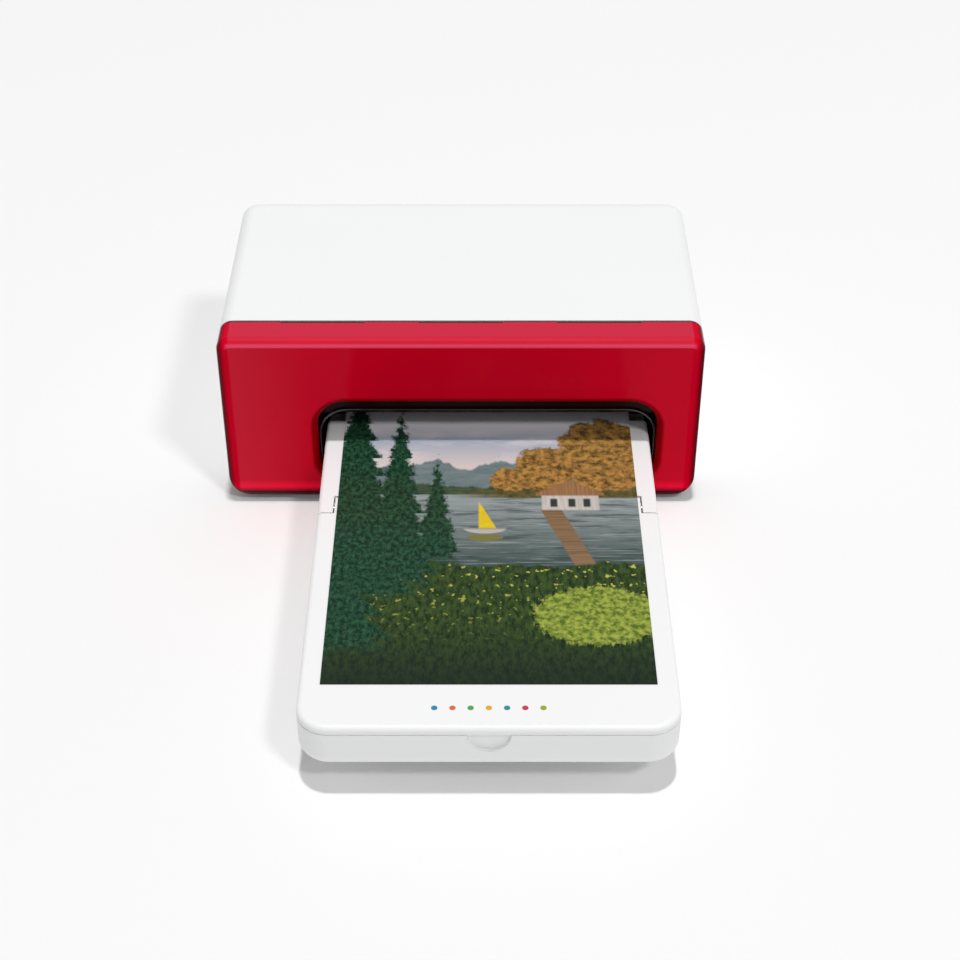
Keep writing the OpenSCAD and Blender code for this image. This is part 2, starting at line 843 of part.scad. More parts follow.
module head_arm() {
    arm_t = 1.2;
    arm_half_w = 56;
    barrel_r = 2;
    color(steel)
        difference() {
            union() {
                block([tray_x - arm_half_w, platen_at[0] - 4, arm_z],
                      [tray_x + arm_half_w, head_pin_at[0], arm_z + arm_t]);
                rod(head_pin_at, barrel_r, tray_x - arm_half_w, tray_x + arm_half_w);
            }
            rod(head_pin_at, head_pin_r + run_fit, tray_x - arm_half_w - 1, tray_x + arm_half_w + 1);
        }
}

module head_pivot_pin() {
    color(steel)
        rod(head_pin_at, head_pin_r, plate_left_x - 0.6, plate_right_x + plate_t + 0.6);
}

// Curved seats for the cartridge's tubes, held by both chassis plates
module cartridge_rails() {
    seat_r = tube_r + 0.35;
    rail_size = [7, 6];
    color(black_plastic)
        along_x(inner_left_x, plate_right_x)
            difference() {
                union() {
                    translate([takeup_at[0] - tube_r - 3, takeup_at[1] - tube_r - 0.5])
                        square(rail_size);
                    translate([supply_at[0] + tube_r + 3 - rail_size[0], supply_at[1] - tube_r - 0.5])
                        square(rail_size);
                }
                for (p = [takeup_at, supply_at])
                    translate(p)
                        circle(seat_r);
            }
}

// Places where the ribbon turns: off one roll, under the head, and onto the other
film_t = 0.15;
core_r = 4.3;
supply_roll_r = 7.5;
film_z = head_z - 0.1 - film_t;
film_path = [
    [takeup_at[0], takeup_at[1] - core_r - film_t],
    [platen_at[0] - 3.6, film_z],
    [platen_at[0] + 3.6, film_z],
    [supply_at[0], supply_at[1] - supply_roll_r - film_t]
];

module ribbon_film() {
    x0 = tray_x - film_w / 2;
    color(film_purple)
        along_x(x0, x0 + film_w)
            polygon(concat(film_path, [for (i = [3:-1:0]) film_path[i] + [0, film_t]]));
}

module cartridge_shell() {
    slot_x0 = tray_x - film_w / 2 - 1.5;
    slot_x1 = tray_x + film_w / 2 + 1.5;
    end_t = 3;
    color(black_plastic)
        difference() {
            union() {
                for (p = [takeup_at, supply_at])
                    rod(p, tube_r, tube_x0, tube_x1 + end_t);
                along_x(tube_x1, tube_x1 + end_t)
                    translate(takeup_at - [0, tube_r - 1])
                        square([spool_gap, 2 * tube_r - 2]);
                block([tube_x1 + end_t, takeup_at[0] + 4, takeup_at[1] - 6],
                      [tube_x1 + end_t + 10.5, takeup_at[0] + 28, takeup_at[1] + 6]);
            }
            for (p = [takeup_at, supply_at]) {
                rod(p, tube_r - tube_wall, tube_x0 + tube_wall, tube_x1);
                rod(p, hub_r + 0.8, tube_x0 - 1, tube_x0 + tube_wall + 1);
                rod(p, 2 + run_fit, tube_x1 - 1, tube_x1 + 2.2);
            }
            block([slot_x0, takeup_at[0] - 1, takeup_at[1] - tube_r - 2], [slot_x1, takeup_at[0] + 8, takeup_at[1] - 6]);
            block([slot_x0, supply_at[0] - 8, supply_at[1] - tube_r - 2], [slot_x1, supply_at[0] + 1, supply_at[1] - 6]);
            for (y = [takeup_at[0] + 3, takeup_at[0] + 28.4])
                block([tube_x1 + end_t + 3, y, takeup_at[1] - 7], [tube_x1 + end_t + 8, y + 1.6, takeup_at[1] + 7]);
        }
}

// A spool with a socket for the hub at its left end and a journal at its right end
module spool(at) {
    difference() {
        union() {
            rod(at, core_r, tube_x0 + tube_wall + 0.4, tube_x1 - 0.4);
            rod(at, 2, tube_x1 - 0.4, tube_x1 + 2);
        }
        rod(at, hub_r + 0.2, tube_x0 - 1, hub_nose_x + 0.5);
    }
}

module takeup_spool() {
    color(grey_plastic)
        spool(takeup_at);
}

module supply_spool() {
    color(grey_plastic)
        spool(supply_at);
    color(film_purple)
        difference() {
            rod(supply_at, supply_roll_r, tray_x - film_w / 2, tray_x + film_w / 2);
            rod(supply_at, core_r, tray_x - film_w, tray_x + film_w);
        }
}

// ---- Side door ----

door_edge_r = door_t / 2;

module cartridge_door() {
    color(white_plastic)
        difference() {
            union() {
                intersection() {
                    difference() {
                        body_solid(0, seam_y, back_y, 0.5, back_r);
                        body_solid(door_t, seam_y - 5, back_y - wall, 0.5, back_r - wall);
                    }
                    block([body_w / 2 - 8, door_y0, door_hinge_z], [body_w, door_y1, door_top]);
                }
                translate([door_pin_x, door_y0, door_hinge_z])
                    rotate([-90, 0, 0])
                        cylinder(r = door_edge_r, h = door_y1 - door_y0);
                block([door_pin_x - 4.2, (door_y0 + door_y1) / 2 - 6, door_top - 4],
                      [door_pin_x - 0.4, (door_y0 + door_y1) / 2 + 6, door_top - 2.6]);
            }
            translate([door_pin_x, door_y0 - 1, door_hinge_z])
                rotate([-90, 0, 0])
                    cylinder(r = door_pin_r + run_fit, h = door_y1 - door_y0 + 2);
        }
}

module door_hinge_pin() {
    color(steel)
        translate([door_pin_x, door_y0 - 3.8, door_hinge_z])
            rotate([-90, 0, 0])
                cylinder(r = door_pin_r, h = door_y1 - door_y0 + 7.6);
}

// ---- Paper tray ----

// The tray's outline seen from above, drawn in by inset, from its front to y1
function tray_outline(inset, y1) =
    let(r = max(tray_corner_r - inset, 0.5), w = tray_w / 2 - inset, y = front_y + inset + r)
    concat([[tray_x + w, y1]], [[tray_x - w, y1]],
           arc([tray_x - w + r, y], r, 180, 270), arc([tray_x + w - r, y], r, 270, 360));

// The tray's outline as a solid from z0 to z1, with its lower edge rounded by r0 and its upper by r1
module tray_solid(inset, y1, z0, z1, r0, r1) {
    hull() {
        for (t = [0:15:90]) {
            translate([0, 0, z0 + r0 * (1 - cos(t))])
                linear_extrude(0.01)
                    polygon(tray_outline(inset + r0 * (1 - sin(t)), y1));
            translate([0, 0, z1 - 0.01 - r1 * (1 - cos(t))])
                linear_extrude(0.01)
                    polygon(tray_outline(inset + r1 * (1 - sin(t)), y1));
        }
    }
}

rib_w = 2;
lift_plate_t = 0.8;
stop_t = 1.5;
stack_front_y = stack_back_y - print_l;
cavity_top = tray_top + 5;

module tray_base() {
    wall_front_y = front_y + 3;
    color(white_plastic)
        difference() {
            tray_solid(0, tray_back_y, tray_low, cover_z, tray_edge_r, 0.4);
            intersection() {
                tray_solid(2.2, tray_back_y - 2, tray_low + tray_floor, cavity_top, tray_edge_r - 2, 0.4);
                block([tray_x - cavity_w / 2, front_y, 0], [tray_x + cavity_w / 2, tray_back_y, cavity_top]);
            }
            block([-body_w, rail_end_y, low_wall_z], [body_w, tray_back_y + 1, body_h]);
            rod(lift_pin_at, lift_pin_r + run_fit, tray_x - cavity_w / 2 - 1.6, tray_x + cavity_w / 2 + 1.6);
            block([tray_x - cavity_w / 2, tray_back_y - 4, rear_wall_z], [tray_x + cavity_w / 2, tray_back_y + 1, body_h]);
            translate([tray_x, front_y - 1, cover_z])
                rotate([-90, 0, 0])
                    cylinder(r = notch_r, h = 2.2);
        }
    color(white_plastic) {
        for (x = [-34, 0, 34])
            block([tray_x + x - rib_w / 2, stack_front_y, tray_low + tray_floor],
                  [tray_x + x + rib_w / 2, lift_pin_at[0] - 2, paper_rest_z]);
        block([tray_x - cavity_w / 2, stack_front_y - stop_t - 0.3, tray_low + tray_floor],
              [tray_x + cavity_w / 2, stack_front_y - 0.3, paper_rest_z + stack_h + 1.5]);
    }
}

// Fixed rails beside the print, joined behind the lid's hinge tab
module tray_rear_cover() {
    color(white_plastic)
        difference() {
            intersection() {
                block([tray_x - tray_w / 2, lid_y, cover_z], [tray_x + tray_w / 2, rail_end_y, tray_top]);
                tray_solid(0, rail_end_y, cover_z - 5, tray_top, 0.4, lid_edge_r);
            }
            block([tray_x - tab_w / 2 - slot_w, lid_y - 1, cover_z - 1],
                  [tray_x + tab_w / 2 + slot_w, lid_y + tab_l + 0.9, tray_top + 1]);
            rod(lid_pin_at, lid_pin_r, tray_x - tray_w / 2 + 1.5, tray_x + tray_w / 2 - 1.5);
        }
}

module tray_lid() {
    color(white_plastic)
        difference() {
            union() {
                tray_solid(0, lid_y - seam_gap, cover_z + 0.15, tray_top, 0.3, lid_edge_r);
                block([tray_x - tab_w / 2, lid_y - 2, cover_z + 0.15],
                      [tray_x + tab_w / 2, lid_y + tab_l, tray_top - 0.05]);
            }
            for (side = [-1, 1]) {
                x = tray_x + side * (tab_w / 2 - 2);
                rod(lid_pin_at, lid_pin_r + run_fit, x - 3, x + 3);
            }
        }
}

module lid_hinge_pins() {
    color(steel)
        for (side = [-1, 1]) {
            inner = tray_x + side * (tab_w / 2 - 4.5);
            outer = tray_x + side * (tray_w / 2 - 1.6);
            rod(lid_pin_at, lid_pin_r, min(inner, outer), max(inner, outer));
        }
}

// The plate under the back of the stack turns on the pin along its front edge
module paper_lift_plate() {
    half_w = cavity_w / 2 - 1.2;
    pin_half_l = cavity_w / 2 + 1.5;
    color(steel) {
        block([tray_x - half_w, lift_pin_at[0], paper_rest_z - lift_plate_t],
              [tray_x + half_w, stack_back_y - 0.5, paper_rest_z]);
        rod(lift_pin_at, lift_pin_r, tray_x - pin_half_l, tray_x + pin_half_l);
    }
}

module lift_springs() {
    spring_r = 3;
    color(steel)
        for (x = [-26, 26])
            difference() {
                post(tray_x + x, stack_back_y - 12, spring_r, tray_low + tray_floor, paper_rest_z - lift_plate_t);
                post(tray_x + x, stack_back_y - 12, spring_r - 0.7, tray_low, paper_rest_z);
            }
}

module paper_stack() {
    color([0.97, 0.97, 0.96])
        block([tray_x - print_w / 2, stack_front_y, paper_rest_z],
              [tray_x + print_w / 2, stack_back_y, paper_rest_z + stack_h]);
}

module photo_print() {
    color([0.3, 0.42, 0.4])
        block([tray_x - print_w / 2, print_front_y, tray_top],
              [tray_x + print_w / 2, print_front_y + print_l, tray_top + print_t]);
}

// ---- Assembly ----

main_casing();
base_pan();
front_bezel();
bezel_backing();
throat_liner();
rubber_feet();
casing_screws();
left_chassis_plate();
right_chassis_plate();
rear_paper_guide();
tray_guides();
board_bracket();
main_board();
power_board();
power_inlet();
usb_socket();
button_board();
status_light();
power_button();
feed_motor();
motor_bracket();
motor_pinion();
roller_bushes();
gear_posts();
platen_roller();
platen_gear();
grip_roller();
grip_gear();
pinch_roller();
pickup_roller();
pickup_gear();
exit_roller();
exit_wheels();
idler(grip_idler_at, grip_idler_turn);  // grip_idler
idler(pickup_idler_at, pickup_idler_turn);  // pickup_idler
idler(exit_idler_at, exit_idler_turn);  // exit_idler
idler(lower_idler_at, lower_idler_turn);  // lower_spool_idler
idler(upper_idler_at, upper_idler_turn);  // upper_spool_idler
takeup_hub();
supply_hub();
print_head();
head_arm();
head_pivot_pin();
cartridge_rails();
cartridge_shell();
ribbon_film();
takeup_spool();
supply_spool();
cartridge_door();
door_hinge_pin();
tray_base();
tray_rear_cover();
tray_lid();
lid_hinge_pins();
paper_lift_plate();
lift_springs();
paper_stack();
photo_print();
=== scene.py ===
import math

import bmesh
import bpy
from mathutils import Matrix, Vector


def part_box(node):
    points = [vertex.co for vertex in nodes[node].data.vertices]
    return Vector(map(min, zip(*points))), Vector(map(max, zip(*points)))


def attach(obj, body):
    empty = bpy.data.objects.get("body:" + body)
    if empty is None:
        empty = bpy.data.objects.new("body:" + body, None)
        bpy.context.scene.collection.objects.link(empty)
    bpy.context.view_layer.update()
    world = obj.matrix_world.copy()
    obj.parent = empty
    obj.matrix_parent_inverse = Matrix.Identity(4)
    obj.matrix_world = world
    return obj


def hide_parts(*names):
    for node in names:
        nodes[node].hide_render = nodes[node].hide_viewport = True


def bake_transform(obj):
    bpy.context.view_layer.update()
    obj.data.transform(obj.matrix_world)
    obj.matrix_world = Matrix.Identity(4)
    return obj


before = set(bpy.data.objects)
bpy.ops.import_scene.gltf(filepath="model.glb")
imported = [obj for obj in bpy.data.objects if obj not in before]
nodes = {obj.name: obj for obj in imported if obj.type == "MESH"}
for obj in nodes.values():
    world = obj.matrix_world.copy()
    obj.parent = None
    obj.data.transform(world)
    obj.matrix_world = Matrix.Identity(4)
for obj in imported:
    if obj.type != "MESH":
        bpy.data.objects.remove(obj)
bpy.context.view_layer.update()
mm = 0.001

cameraSet = {
    "place": (0.00657, -0.4939, 0.4122),  # metres, in the printer's own frame
    "pitch": 51.96,                       # degrees up from looking straight down
    "lens": 68.1,                         # millimetres, on the sensor below
    "sensor": 36.0,
    "nearest": 0.01,
    "farthest": 20.0,
}


def addCamera():
    data = bpy.data.cameras.new("photoCamera")
    data.lens = cameraSet["lens"]
    data.sensor_width = cameraSet["sensor"]
    data.clip_start = cameraSet["nearest"]
    data.clip_end = cameraSet["farthest"]
    camera = bpy.data.objects.new("photoCamera", data)
    camera.location = cameraSet["place"]
    camera.rotation_euler = (math.radians(cameraSet["pitch"]), 0.0, 0.0)
    bpy.context.scene.collection.objects.link(camera)
    bpy.context.scene.camera = camera


addCamera()
print("camera placed")


shaping = {
    "weld": 0.005 * mm,      # corners nearer than this are one
    "flat": 0.2,             # degrees within which faces count as flat
    "past": 10.0 * mm,       # how far a cutter reaches past what it cuts
    "wide": 200.0 * mm,      # half width of a cutter that spans the whole printer
}


def newObject(name, bm, material=None):
    mesh = bpy.data.meshes.new(name)
    bmesh.ops.recalc_face_normals(bm, faces=bm.faces)
    bm.to_mesh(mesh)
    bm.free()
    piece = bpy.data.objects.new(name, mesh)
    bpy.context.scene.collection.objects.link(piece)
    if material:
        mesh.materials.append(material)
    return piece


def boxMesh(low, high):
    bm = bmesh.new()
    bmesh.ops.create_cube(bm, size=1.0)
    low, high = Vector(low), Vector(high)
    bmesh.ops.scale(bm, vec=high - low, verts=bm.verts)
    bmesh.ops.translate(bm, vec=(low + high) / 2, verts=bm.verts)
    return bm


def bevelWhere(bm, test, radius, segments):
    picked = [e for e in bm.edges if test(*[v.co for v in e.verts])]
    bmesh.ops.bevel(bm, geom=picked, offset=radius, offset_type="OFFSET", segments=segments,
                    profile=0.5, affect="EDGES", material=-1, clamp_overlap=True)


def near(a, b):
    return abs(a - b) < 0.02 * mm


def tube(at, axis, radius, start, end, segments=48):
    # a closed cylinder from start to end along an axis, through the point at
    bm = bmesh.new()
    bmesh.ops.create_cone(bm, cap_ends=True, segments=segments, radius1=radius, radius2=radius,
                          depth=end - start)
    turn = {"x": Matrix.Rotation(math.pi / 2, 4, "Y"), "y": Matrix.Rotation(-math.pi / 2, 4, "X"),
            "z": Matrix.Identity(4)}[axis]
    bmesh.ops.transform(bm, matrix=turn, verts=bm.verts)
    shift = Vector(at)
    shift["xyz".index(axis)] = (start + end) / 2
    bmesh.ops.translate(bm, vec=shift, verts=bm.verts)
    return bm


def applyModifiers(piece):
    graph = bpy.context.evaluated_depsgraph_get()
    done = bpy.data.meshes.new_from_object(piece.evaluated_get(graph))
    piece.modifiers.clear()
    old = piece.data
    piece.data = done
    bpy.data.meshes.remove(old)


def combine(piece, tools, operation="DIFFERENCE"):
    # takes each tool mesh out of the piece, or joins it on
    for bm in tools:
        tool = newObject("tool", bm)
        change = piece.modifiers.new("change", "BOOLEAN")
        change.operation = operation
        change.solver = "EXACT"
        change.object = tool
        applyModifiers(piece)
        mesh = tool.data
        bpy.data.objects.remove(tool)
        bpy.data.meshes.remove(mesh)


def mergeFlats(piece):
    # the piece's mesh with its doubled corners welded and its flat faces whole again
    bm = bmesh.new()
    bm.from_mesh(piece.data)
    bmesh.ops.remove_doubles(bm, verts=bm.verts, dist=shaping["weld"])
    bmesh.ops.dissolve_limit(bm, angle_limit=math.radians(shaping["flat"]), verts=bm.verts, edges=bm.edges)
    return bm


def softenEdges(piece, width, angle=35.0):
    # a small rounding on every sharp edge, then smooth shading
    bm = mergeFlats(piece)
    bm.to_mesh(piece.data)
    bm.free()
    soft = piece.modifiers.new("softEdges", "BEVEL")
    soft.width = width
    soft.segments = 2
    soft.limit_method = "ANGLE"
    soft.angle_limit = math.radians(angle)
    soft.use_clamp_overlap = True
    soft.miter_outer = "MITER_ARC"
    applyModifiers(piece)
    shadeSmooth(piece)


def shadeSmooth(piece):
    piece.data.shade_smooth()
    piece.data.set_sharp_from_angle(angle=math.radians(30.0))
    weigh = piece.modifiers.new("flatFaces", "WEIGHTED_NORMAL")
    weigh.keep_sharp = True
    weigh.weight = 100
    applyModifiers(piece)


def newMaterial(name):
    material = bpy.data.materials.new(name)
    material.use_nodes = True
    tree = material.node_tree
    shader = tree.nodes["Principled BSDF"]
    return material, tree, shader


def addNode(tree, kind, **inputs):
    node = tree.nodes.new(kind)
    for key, value in inputs.items():
        if key in node.inputs:
            node.inputs[key].default_value = value
        else:
            setattr(node, key, value)
    return node


def objectCoords(tree):
    return addNode(tree, "ShaderNodeTexCoord").outputs["Object"]


def noiseOf(tree, coords, scale, detail=3.0, roughness=0.5):
    noise = addNode(tree, "ShaderNodeTexNoise", Scale=scale, Detail=detail, Roughness=roughness)
    tree.links.new(coords, noise.inputs["Vector"])
    return noise.outputs["Fac"]


def mapTo(tree, value, low, high, fromLow=0.3, fromHigh=0.7):
    ramp = addNode(tree, "ShaderNodeMapRange")
    ramp.inputs["From Min"].default_value = fromLow
    ramp.inputs["From Max"].default_value = fromHigh
    ramp.inputs["To Min"].default_value = low
    ramp.inputs["To Max"].default_value = high
    tree.links.new(value, ramp.inputs["Value"])
    return ramp.outputs["Result"]


def calc(tree, kind, first, second=0.0):
    node = addNode(tree, "ShaderNodeMath", operation=kind)
    for socket, value in zip(node.inputs, (first, second)):
        if hasattr(value, "links"):
            tree.links.new(value, socket)
        else:
            socket.default_value = value
    return node.outputs[0]


def mixColours(tree, factor, first, second):
    mix = addNode(tree, "ShaderNodeMix", data_type="RGBA")
    if hasattr(factor, "links"):
        tree.links.new(factor, mix.inputs[0])
    else:
        mix.inputs[0].default_value = factor
    for socket, colour in ((mix.inputs[6], first), (mix.inputs[7], second)):
        if hasattr(colour, "links"):
            tree.links.new(colour, socket)
        else:
            socket.default_value = (*colour, 1.0)
    return mix.outputs[2]


def bumpOf(tree, height, strength, distance):
    bump = addNode(tree, "ShaderNodeBump")
    bump.inputs["Strength"].default_value = strength
    bump.inputs["Distance"].default_value = distance
    tree.links.new(height, bump.inputs["Height"])
    return bump.outputs["Normal"]


surface = {
    "broad": 28.0,              # scale of the slow change of tone
    "grain": 2600.0,            # scale of the grain of moulded plastic
    "grainDepth": 0.04 * mm,
    "glossSpread": 0.08,
    "brushing": 900.0,          # scale of the brushing of metal
    "brushingDepth": 0.03 * mm,
    "brushingShade": 0.14,
    "coatRoughness": 0.04,
}


def darker(colour, amount):
    return [c * (1.0 - amount) for c in colour]


def plastic(name, colour, roughness, grain=0.0, coat=0.0, variation=0.03, specular=0.5):
    # moulded plastic: a little colour variation, fine grain and uneven gloss
    material, tree, shader = newMaterial(name)
    coords = objectCoords(tree)
    broad = mapTo(tree, noiseOf(tree, coords, surface["broad"]), 0.0, 1.0)
    fine = noiseOf(tree, coords, surface["grain"], 2.0)
    tone = mixColours(tree, broad, colour, darker(colour, variation))
    tree.links.new(tone, shader.inputs["Base Color"])
    spread = surface["glossSpread"]
    gloss = mapTo(tree, fine, roughness * (1.0 - spread), roughness * (1.0 + spread))
    tree.links.new(gloss, shader.inputs["Roughness"])
    if grain > 0:
        tree.links.new(bumpOf(tree, fine, grain, surface["grainDepth"]), shader.inputs["Normal"])
    shader.inputs["Coat Weight"].default_value = coat
    shader.inputs["Coat Roughness"].default_value = surface["coatRoughness"]
    shader.inputs["Specular IOR Level"].default_value = specular
    return material


def metal(name, colour, roughness, streak=(1.0, 1.0, 1.0)):
    # metal with brushing drawn out along one axis
    material, tree, shader = newMaterial(name)
    stretch = addNode(tree, "ShaderNodeMapping")
    stretch.inputs["Scale"].default_value = streak
    tree.links.new(objectCoords(tree), stretch.inputs["Vector"])
    lines = noiseOf(tree, stretch.outputs["Vector"], surface["brushing"], 2.0)
    shade = darker(colour, surface["brushingShade"])
    tone = mixColours(tree, mapTo(tree, lines, 0.0, 1.0), colour, shade)
    tree.links.new(tone, shader.inputs["Base Color"])
    tree.links.new(mapTo(tree, lines, roughness * 0.8, roughness * 1.25), shader.inputs["Roughness"])
    tree.links.new(bumpOf(tree, lines, 0.15, surface["brushingDepth"]), shader.inputs["Normal"])
    shader.inputs["Metallic"].default_value = 1.0
    return material


finish = {
    "whiteShell": plastic("whiteShell", (0.945, 0.95, 0.95), 0.42, grain=0.08, variation=0.01),
    "blackPlastic": plastic("blackPlastic", (0.012, 0.012, 0.014), 0.42, grain=0.2, variation=0.2),
    "blackGloss": plastic("blackGloss", (0.01, 0.01, 0.012), 0.22, coat=0.6, variation=0.2),
    "darkLip": plastic("darkLip", (0.018, 0.002, 0.002), 0.4, variation=0.2, specular=0.1),
    "greyPlastic": plastic("greyPlastic", (0.5, 0.51, 0.53), 0.5, grain=0.25),
    "gearPlastic": plastic("gearPlastic", (0.78, 0.74, 0.62), 0.38, grain=0.05),
    "rubber": plastic("rubber", (0.022, 0.022, 0.024), 0.8, grain=0.5, variation=0.3),
    "board": plastic("board", (0.015, 0.12, 0.055), 0.3, grain=0.1, variation=0.25),
    "lightPipe": plastic("lightPipe", (0.55, 0.8, 0.65), 0.15),
    "paper": plastic("paper", (0.9, 0.9, 0.88), 0.6, grain=0.3, variation=0.02),
    "ribbonFilm": plastic("ribbonFilm", (0.16, 0.03, 0.17), 0.16, variation=0.2),
    "steel": metal("steel", (0.62, 0.63, 0.65), 0.32, (0.04, 1.0, 1.0)),
    "brass": metal("brass", (0.78, 0.55, 0.24), 0.3),
    "aluminium": metal("aluminium", (0.72, 0.73, 0.75), 0.36, (0.04, 1.0, 1.0)),
}


# the printed landscape: places are shares of the sheet's width and length
landscape = {
    "aspect": 1.5,
    "horizon": 0.6,
    "shore": 0.36,
    "farRidge": 0.71,
    "nearRidge": 0.63,
    "crowns": ((0.9, 0.74, 0.17, 0.14), (0.7, 0.69, 0.11, 0.09), (0.57, 0.65, 0.06, 0.05)),
    "trunkHalf": 0.008,
    "wall": (0.68, 0.87, 0.545, 0.6),       # left, right, low, high
    "roof": (0.66, 0.89, 0.596, 0.652),
    "roofMiddle": 0.775,
    "roofSlope": 0.42,
    "windows": (0.72, 0.78, 0.83),
    "windowHalf": 0.012,
    "windowSpan": (0.556, 0.585),
    "deck": (0.7, 0.77, 0.3, 0.545),
    "deckLean": 0.55,
    "mast": (0.47, 0.482, 0.575),           # place across, foot, top
    "sailSlope": 0.62,
    "hull": (0.49, 0.482, 0.07, 0.018),     # middle, half width, half height
    "mirror": (0.49, 0.45, 0.06, 0.01),
    "bush": (0.84, 0.2, 0.2, 0.09),
    "pines": ((0.05, 0.26, 1.02, 0.2), (0.2, 0.3, 0.92, 0.13),      # place across, foot, top, half width
              (0.33, 0.37, 0.72, 0.08), (-0.01, 0.1, 0.62, 0.2)),
    "tiers": 15.0,
}

paints = {
    "haze": (0.7, 0.62, 0.6), "blue": (0.42, 0.47, 0.56), "cloud": (0.78, 0.7, 0.72),
    # the two colours of the pale top of the printed sky, made lighter as painted light
    "litPaleSky": (0.98, 0.93, 0.95), "litPaleSkyBlue": (0.8, 0.82, 0.9),
    "farHill": (0.13, 0.19, 0.2), "farLight": (0.2, 0.26, 0.26),
    "nearHill": (0.03, 0.065, 0.04), "nearLight": (0.075, 0.12, 0.06),
    "nearWater": (0.055, 0.085, 0.08), "farWater": (0.3, 0.36, 0.36),
    "ripple": (0.42, 0.46, 0.45), "deep": (0.03, 0.06, 0.05),
    "trunk": (0.1, 0.06, 0.03), "leaf": (0.5, 0.27, 0.07), "leafShade": (0.1, 0.06, 0.02),
    "bank": (0.16, 0.13, 0.05), "bankShade": (0.05, 0.06, 0.02),
    "wall": (0.62, 0.6, 0.55), "wallShade": (0.5, 0.48, 0.44),
    "roof": (0.36, 0.2, 0.09), "roofShade": (0.24, 0.13, 0.06), "pane": (0.04, 0.05, 0.05),
    "deck": (0.3, 0.19, 0.1), "deckShade": (0.16, 0.1, 0.055),
    "sail": (0.8, 0.6, 0.02), "sailShade": (0.7, 0.5, 0.02),
    "hull": (0.5, 0.46, 0.4), "mirror": (0.2, 0.19, 0.05),
    "grass": (0.05, 0.09, 0.022), "grassShade": (0.012, 0.03, 0.01), "bloom": (0.55, 0.55, 0.09),
    "front": (0.012, 0.02, 0.016), "bush": (0.36, 0.42, 0.07), "bushShade": (0.1, 0.16, 0.02),
    "pine": (0.006, 0.028, 0.016), "pineLight": (0.035, 0.12, 0.06),
}


class Picture:
    # paints a picture in layers, from the back to the front, over a sheet's own u and v
    def __init__(self, tree, layer, aspect):
        self.tree = tree
        parts = addNode(tree, "ShaderNodeSeparateXYZ")
        tree.links.new(addNode(tree, "ShaderNodeUVMap", uv_map=layer).outputs[0], parts.inputs[0])
        self.u, self.v = parts.outputs["X"], parts.outputs["Y"]
        self.aspect = aspect
        self.colour = (0.0, 0.0, 0.0)

    def math(self, kind, first, second=0.0):
        return calc(self.tree, kind, first, second)

    def ramp(self, value, low, high, start, end):
        return mapTo(self.tree, value, low, high, start, end)

    def noise(self, scaleU, scaleV, shift=0.0, detail=4.0, roughness=0.6):
        place = addNode(self.tree, "ShaderNodeCombineXYZ")
        self.tree.links.new(self.math("MULTIPLY", self.u, scaleU), place.inputs[0])
        self.tree.links.new(self.math("MULTIPLY", self.v, scaleV * self.aspect), place.inputs[1])
        place.inputs[2].default_value = shift
        return noiseOf(self.tree, place.outputs[0], 1.0, detail, roughness)

    def rough(self, value, noise, amount):
        # value pushed up and down by noise
        return self.math("ADD", value, self.math("MULTIPLY", self.math("SUBTRACT", noise, 0.5), amount))

    def below(self, value, limit, soft=0.004):
        # 1 where value is under limit
        return self.ramp(self.math("SUBTRACT", limit, value), 0.0, 1.0, -soft, soft)

    def allOf(self, *masks):
        result = masks[0]
        for mask in masks[1:]:
            result = self.math("MULTIPLY", result, mask)
        return result

    def within(self, value, low, high, soft=0.003):
        return self.allOf(self.below(low, value, soft), self.below(value, high, soft))

    def box(self, left, right, low, high):
        return self.allOf(self.within(self.u, left, right), self.within(self.v, low, high))

    def ellipse(self, place, ragged=0.0, noise=None):
        u, v, halfU, halfV = place
        across = self.math("DIVIDE", self.math("SUBTRACT", self.u, u), halfU)
        along = self.math("DIVIDE", self.math("SUBTRACT", self.v, v), halfV)
        reach = self.math("ADD", self.math("MULTIPLY", across, across), self.math("MULTIPLY", along, along))
        if noise is not None:
            reach = self.rough(reach, noise, ragged)
        return self.below(reach, 1.0, 0.08)

    def paint(self, mask, first, second=None, noise=None, low=0.35, high=0.65):
        # one colour, or two mixed by noise, laid where the mask is 1
        colour = paints[first]
        if second:
            colour = mixColours(self.tree, self.ramp(noise, 0.0, 1.0, low, high), colour, paints[second])
        self.colour = mixColours(self.tree, mask, self.colour, colour)


def paintSky(picture):
    picture.colour = mixColours(picture.tree, picture.ramp(picture.v, 0.0, 1.0, 0.7, 0.8),
                                paints["haze"], paints["blue"])
    clouds = picture.noise(3.0, 9.0, 2.0)
    picture.paint(picture.ramp(clouds, 0.0, 0.8, 0.5, 0.66), "cloud")
    # painted light: the pale top of the printed sky is made near white, to stand against the shadow the bezel
    # casts on it
    high = picture.ramp(picture.rough(picture.v, clouds, 0.08), 0.0, 1.0, 0.8, 0.86)
    picture.paint(high, "litPaleSky", "litPaleSkyBlue", clouds)


def paintHills(picture):
    far = picture.rough(landscape["farRidge"], picture.noise(4.0, 0.0, 5.0), 0.22)
    picture.paint(picture.below(picture.v, far), "farHill", "farLight", picture.noise(9.0, 30.0))
    near = picture.rough(landscape["nearRidge"], picture.noise(9.0, 0.0, 9.0, 6.0), 0.1)
    picture.paint(picture.below(picture.v, near), "nearHill", "nearLight", picture.noise(26.0, 60.0, 1.0))


def paintLake(picture):
    distance = picture.ramp(picture.v, 0.0, 1.0, landscape["shore"], landscape["horizon"])
    water = mixColours(picture.tree, distance, paints["nearWater"], paints["farWater"])
    mask = picture.below(picture.v, landscape["horizon"], 0.002)
    picture.colour = mixColours(picture.tree, mask, picture.colour, water)
    ripples = picture.noise(5.0, 90.0, 3.0)
    picture.paint(picture.allOf(mask, picture.ramp(ripples, 0.0, 0.55, 0.52, 0.68)), "ripple")
    shade = picture.noise(6.0, 50.0, 8.0)
    picture.paint(picture.allOf(mask, picture.ramp(shade, 0.0, 0.7, 0.5, 0.66)), "deep")


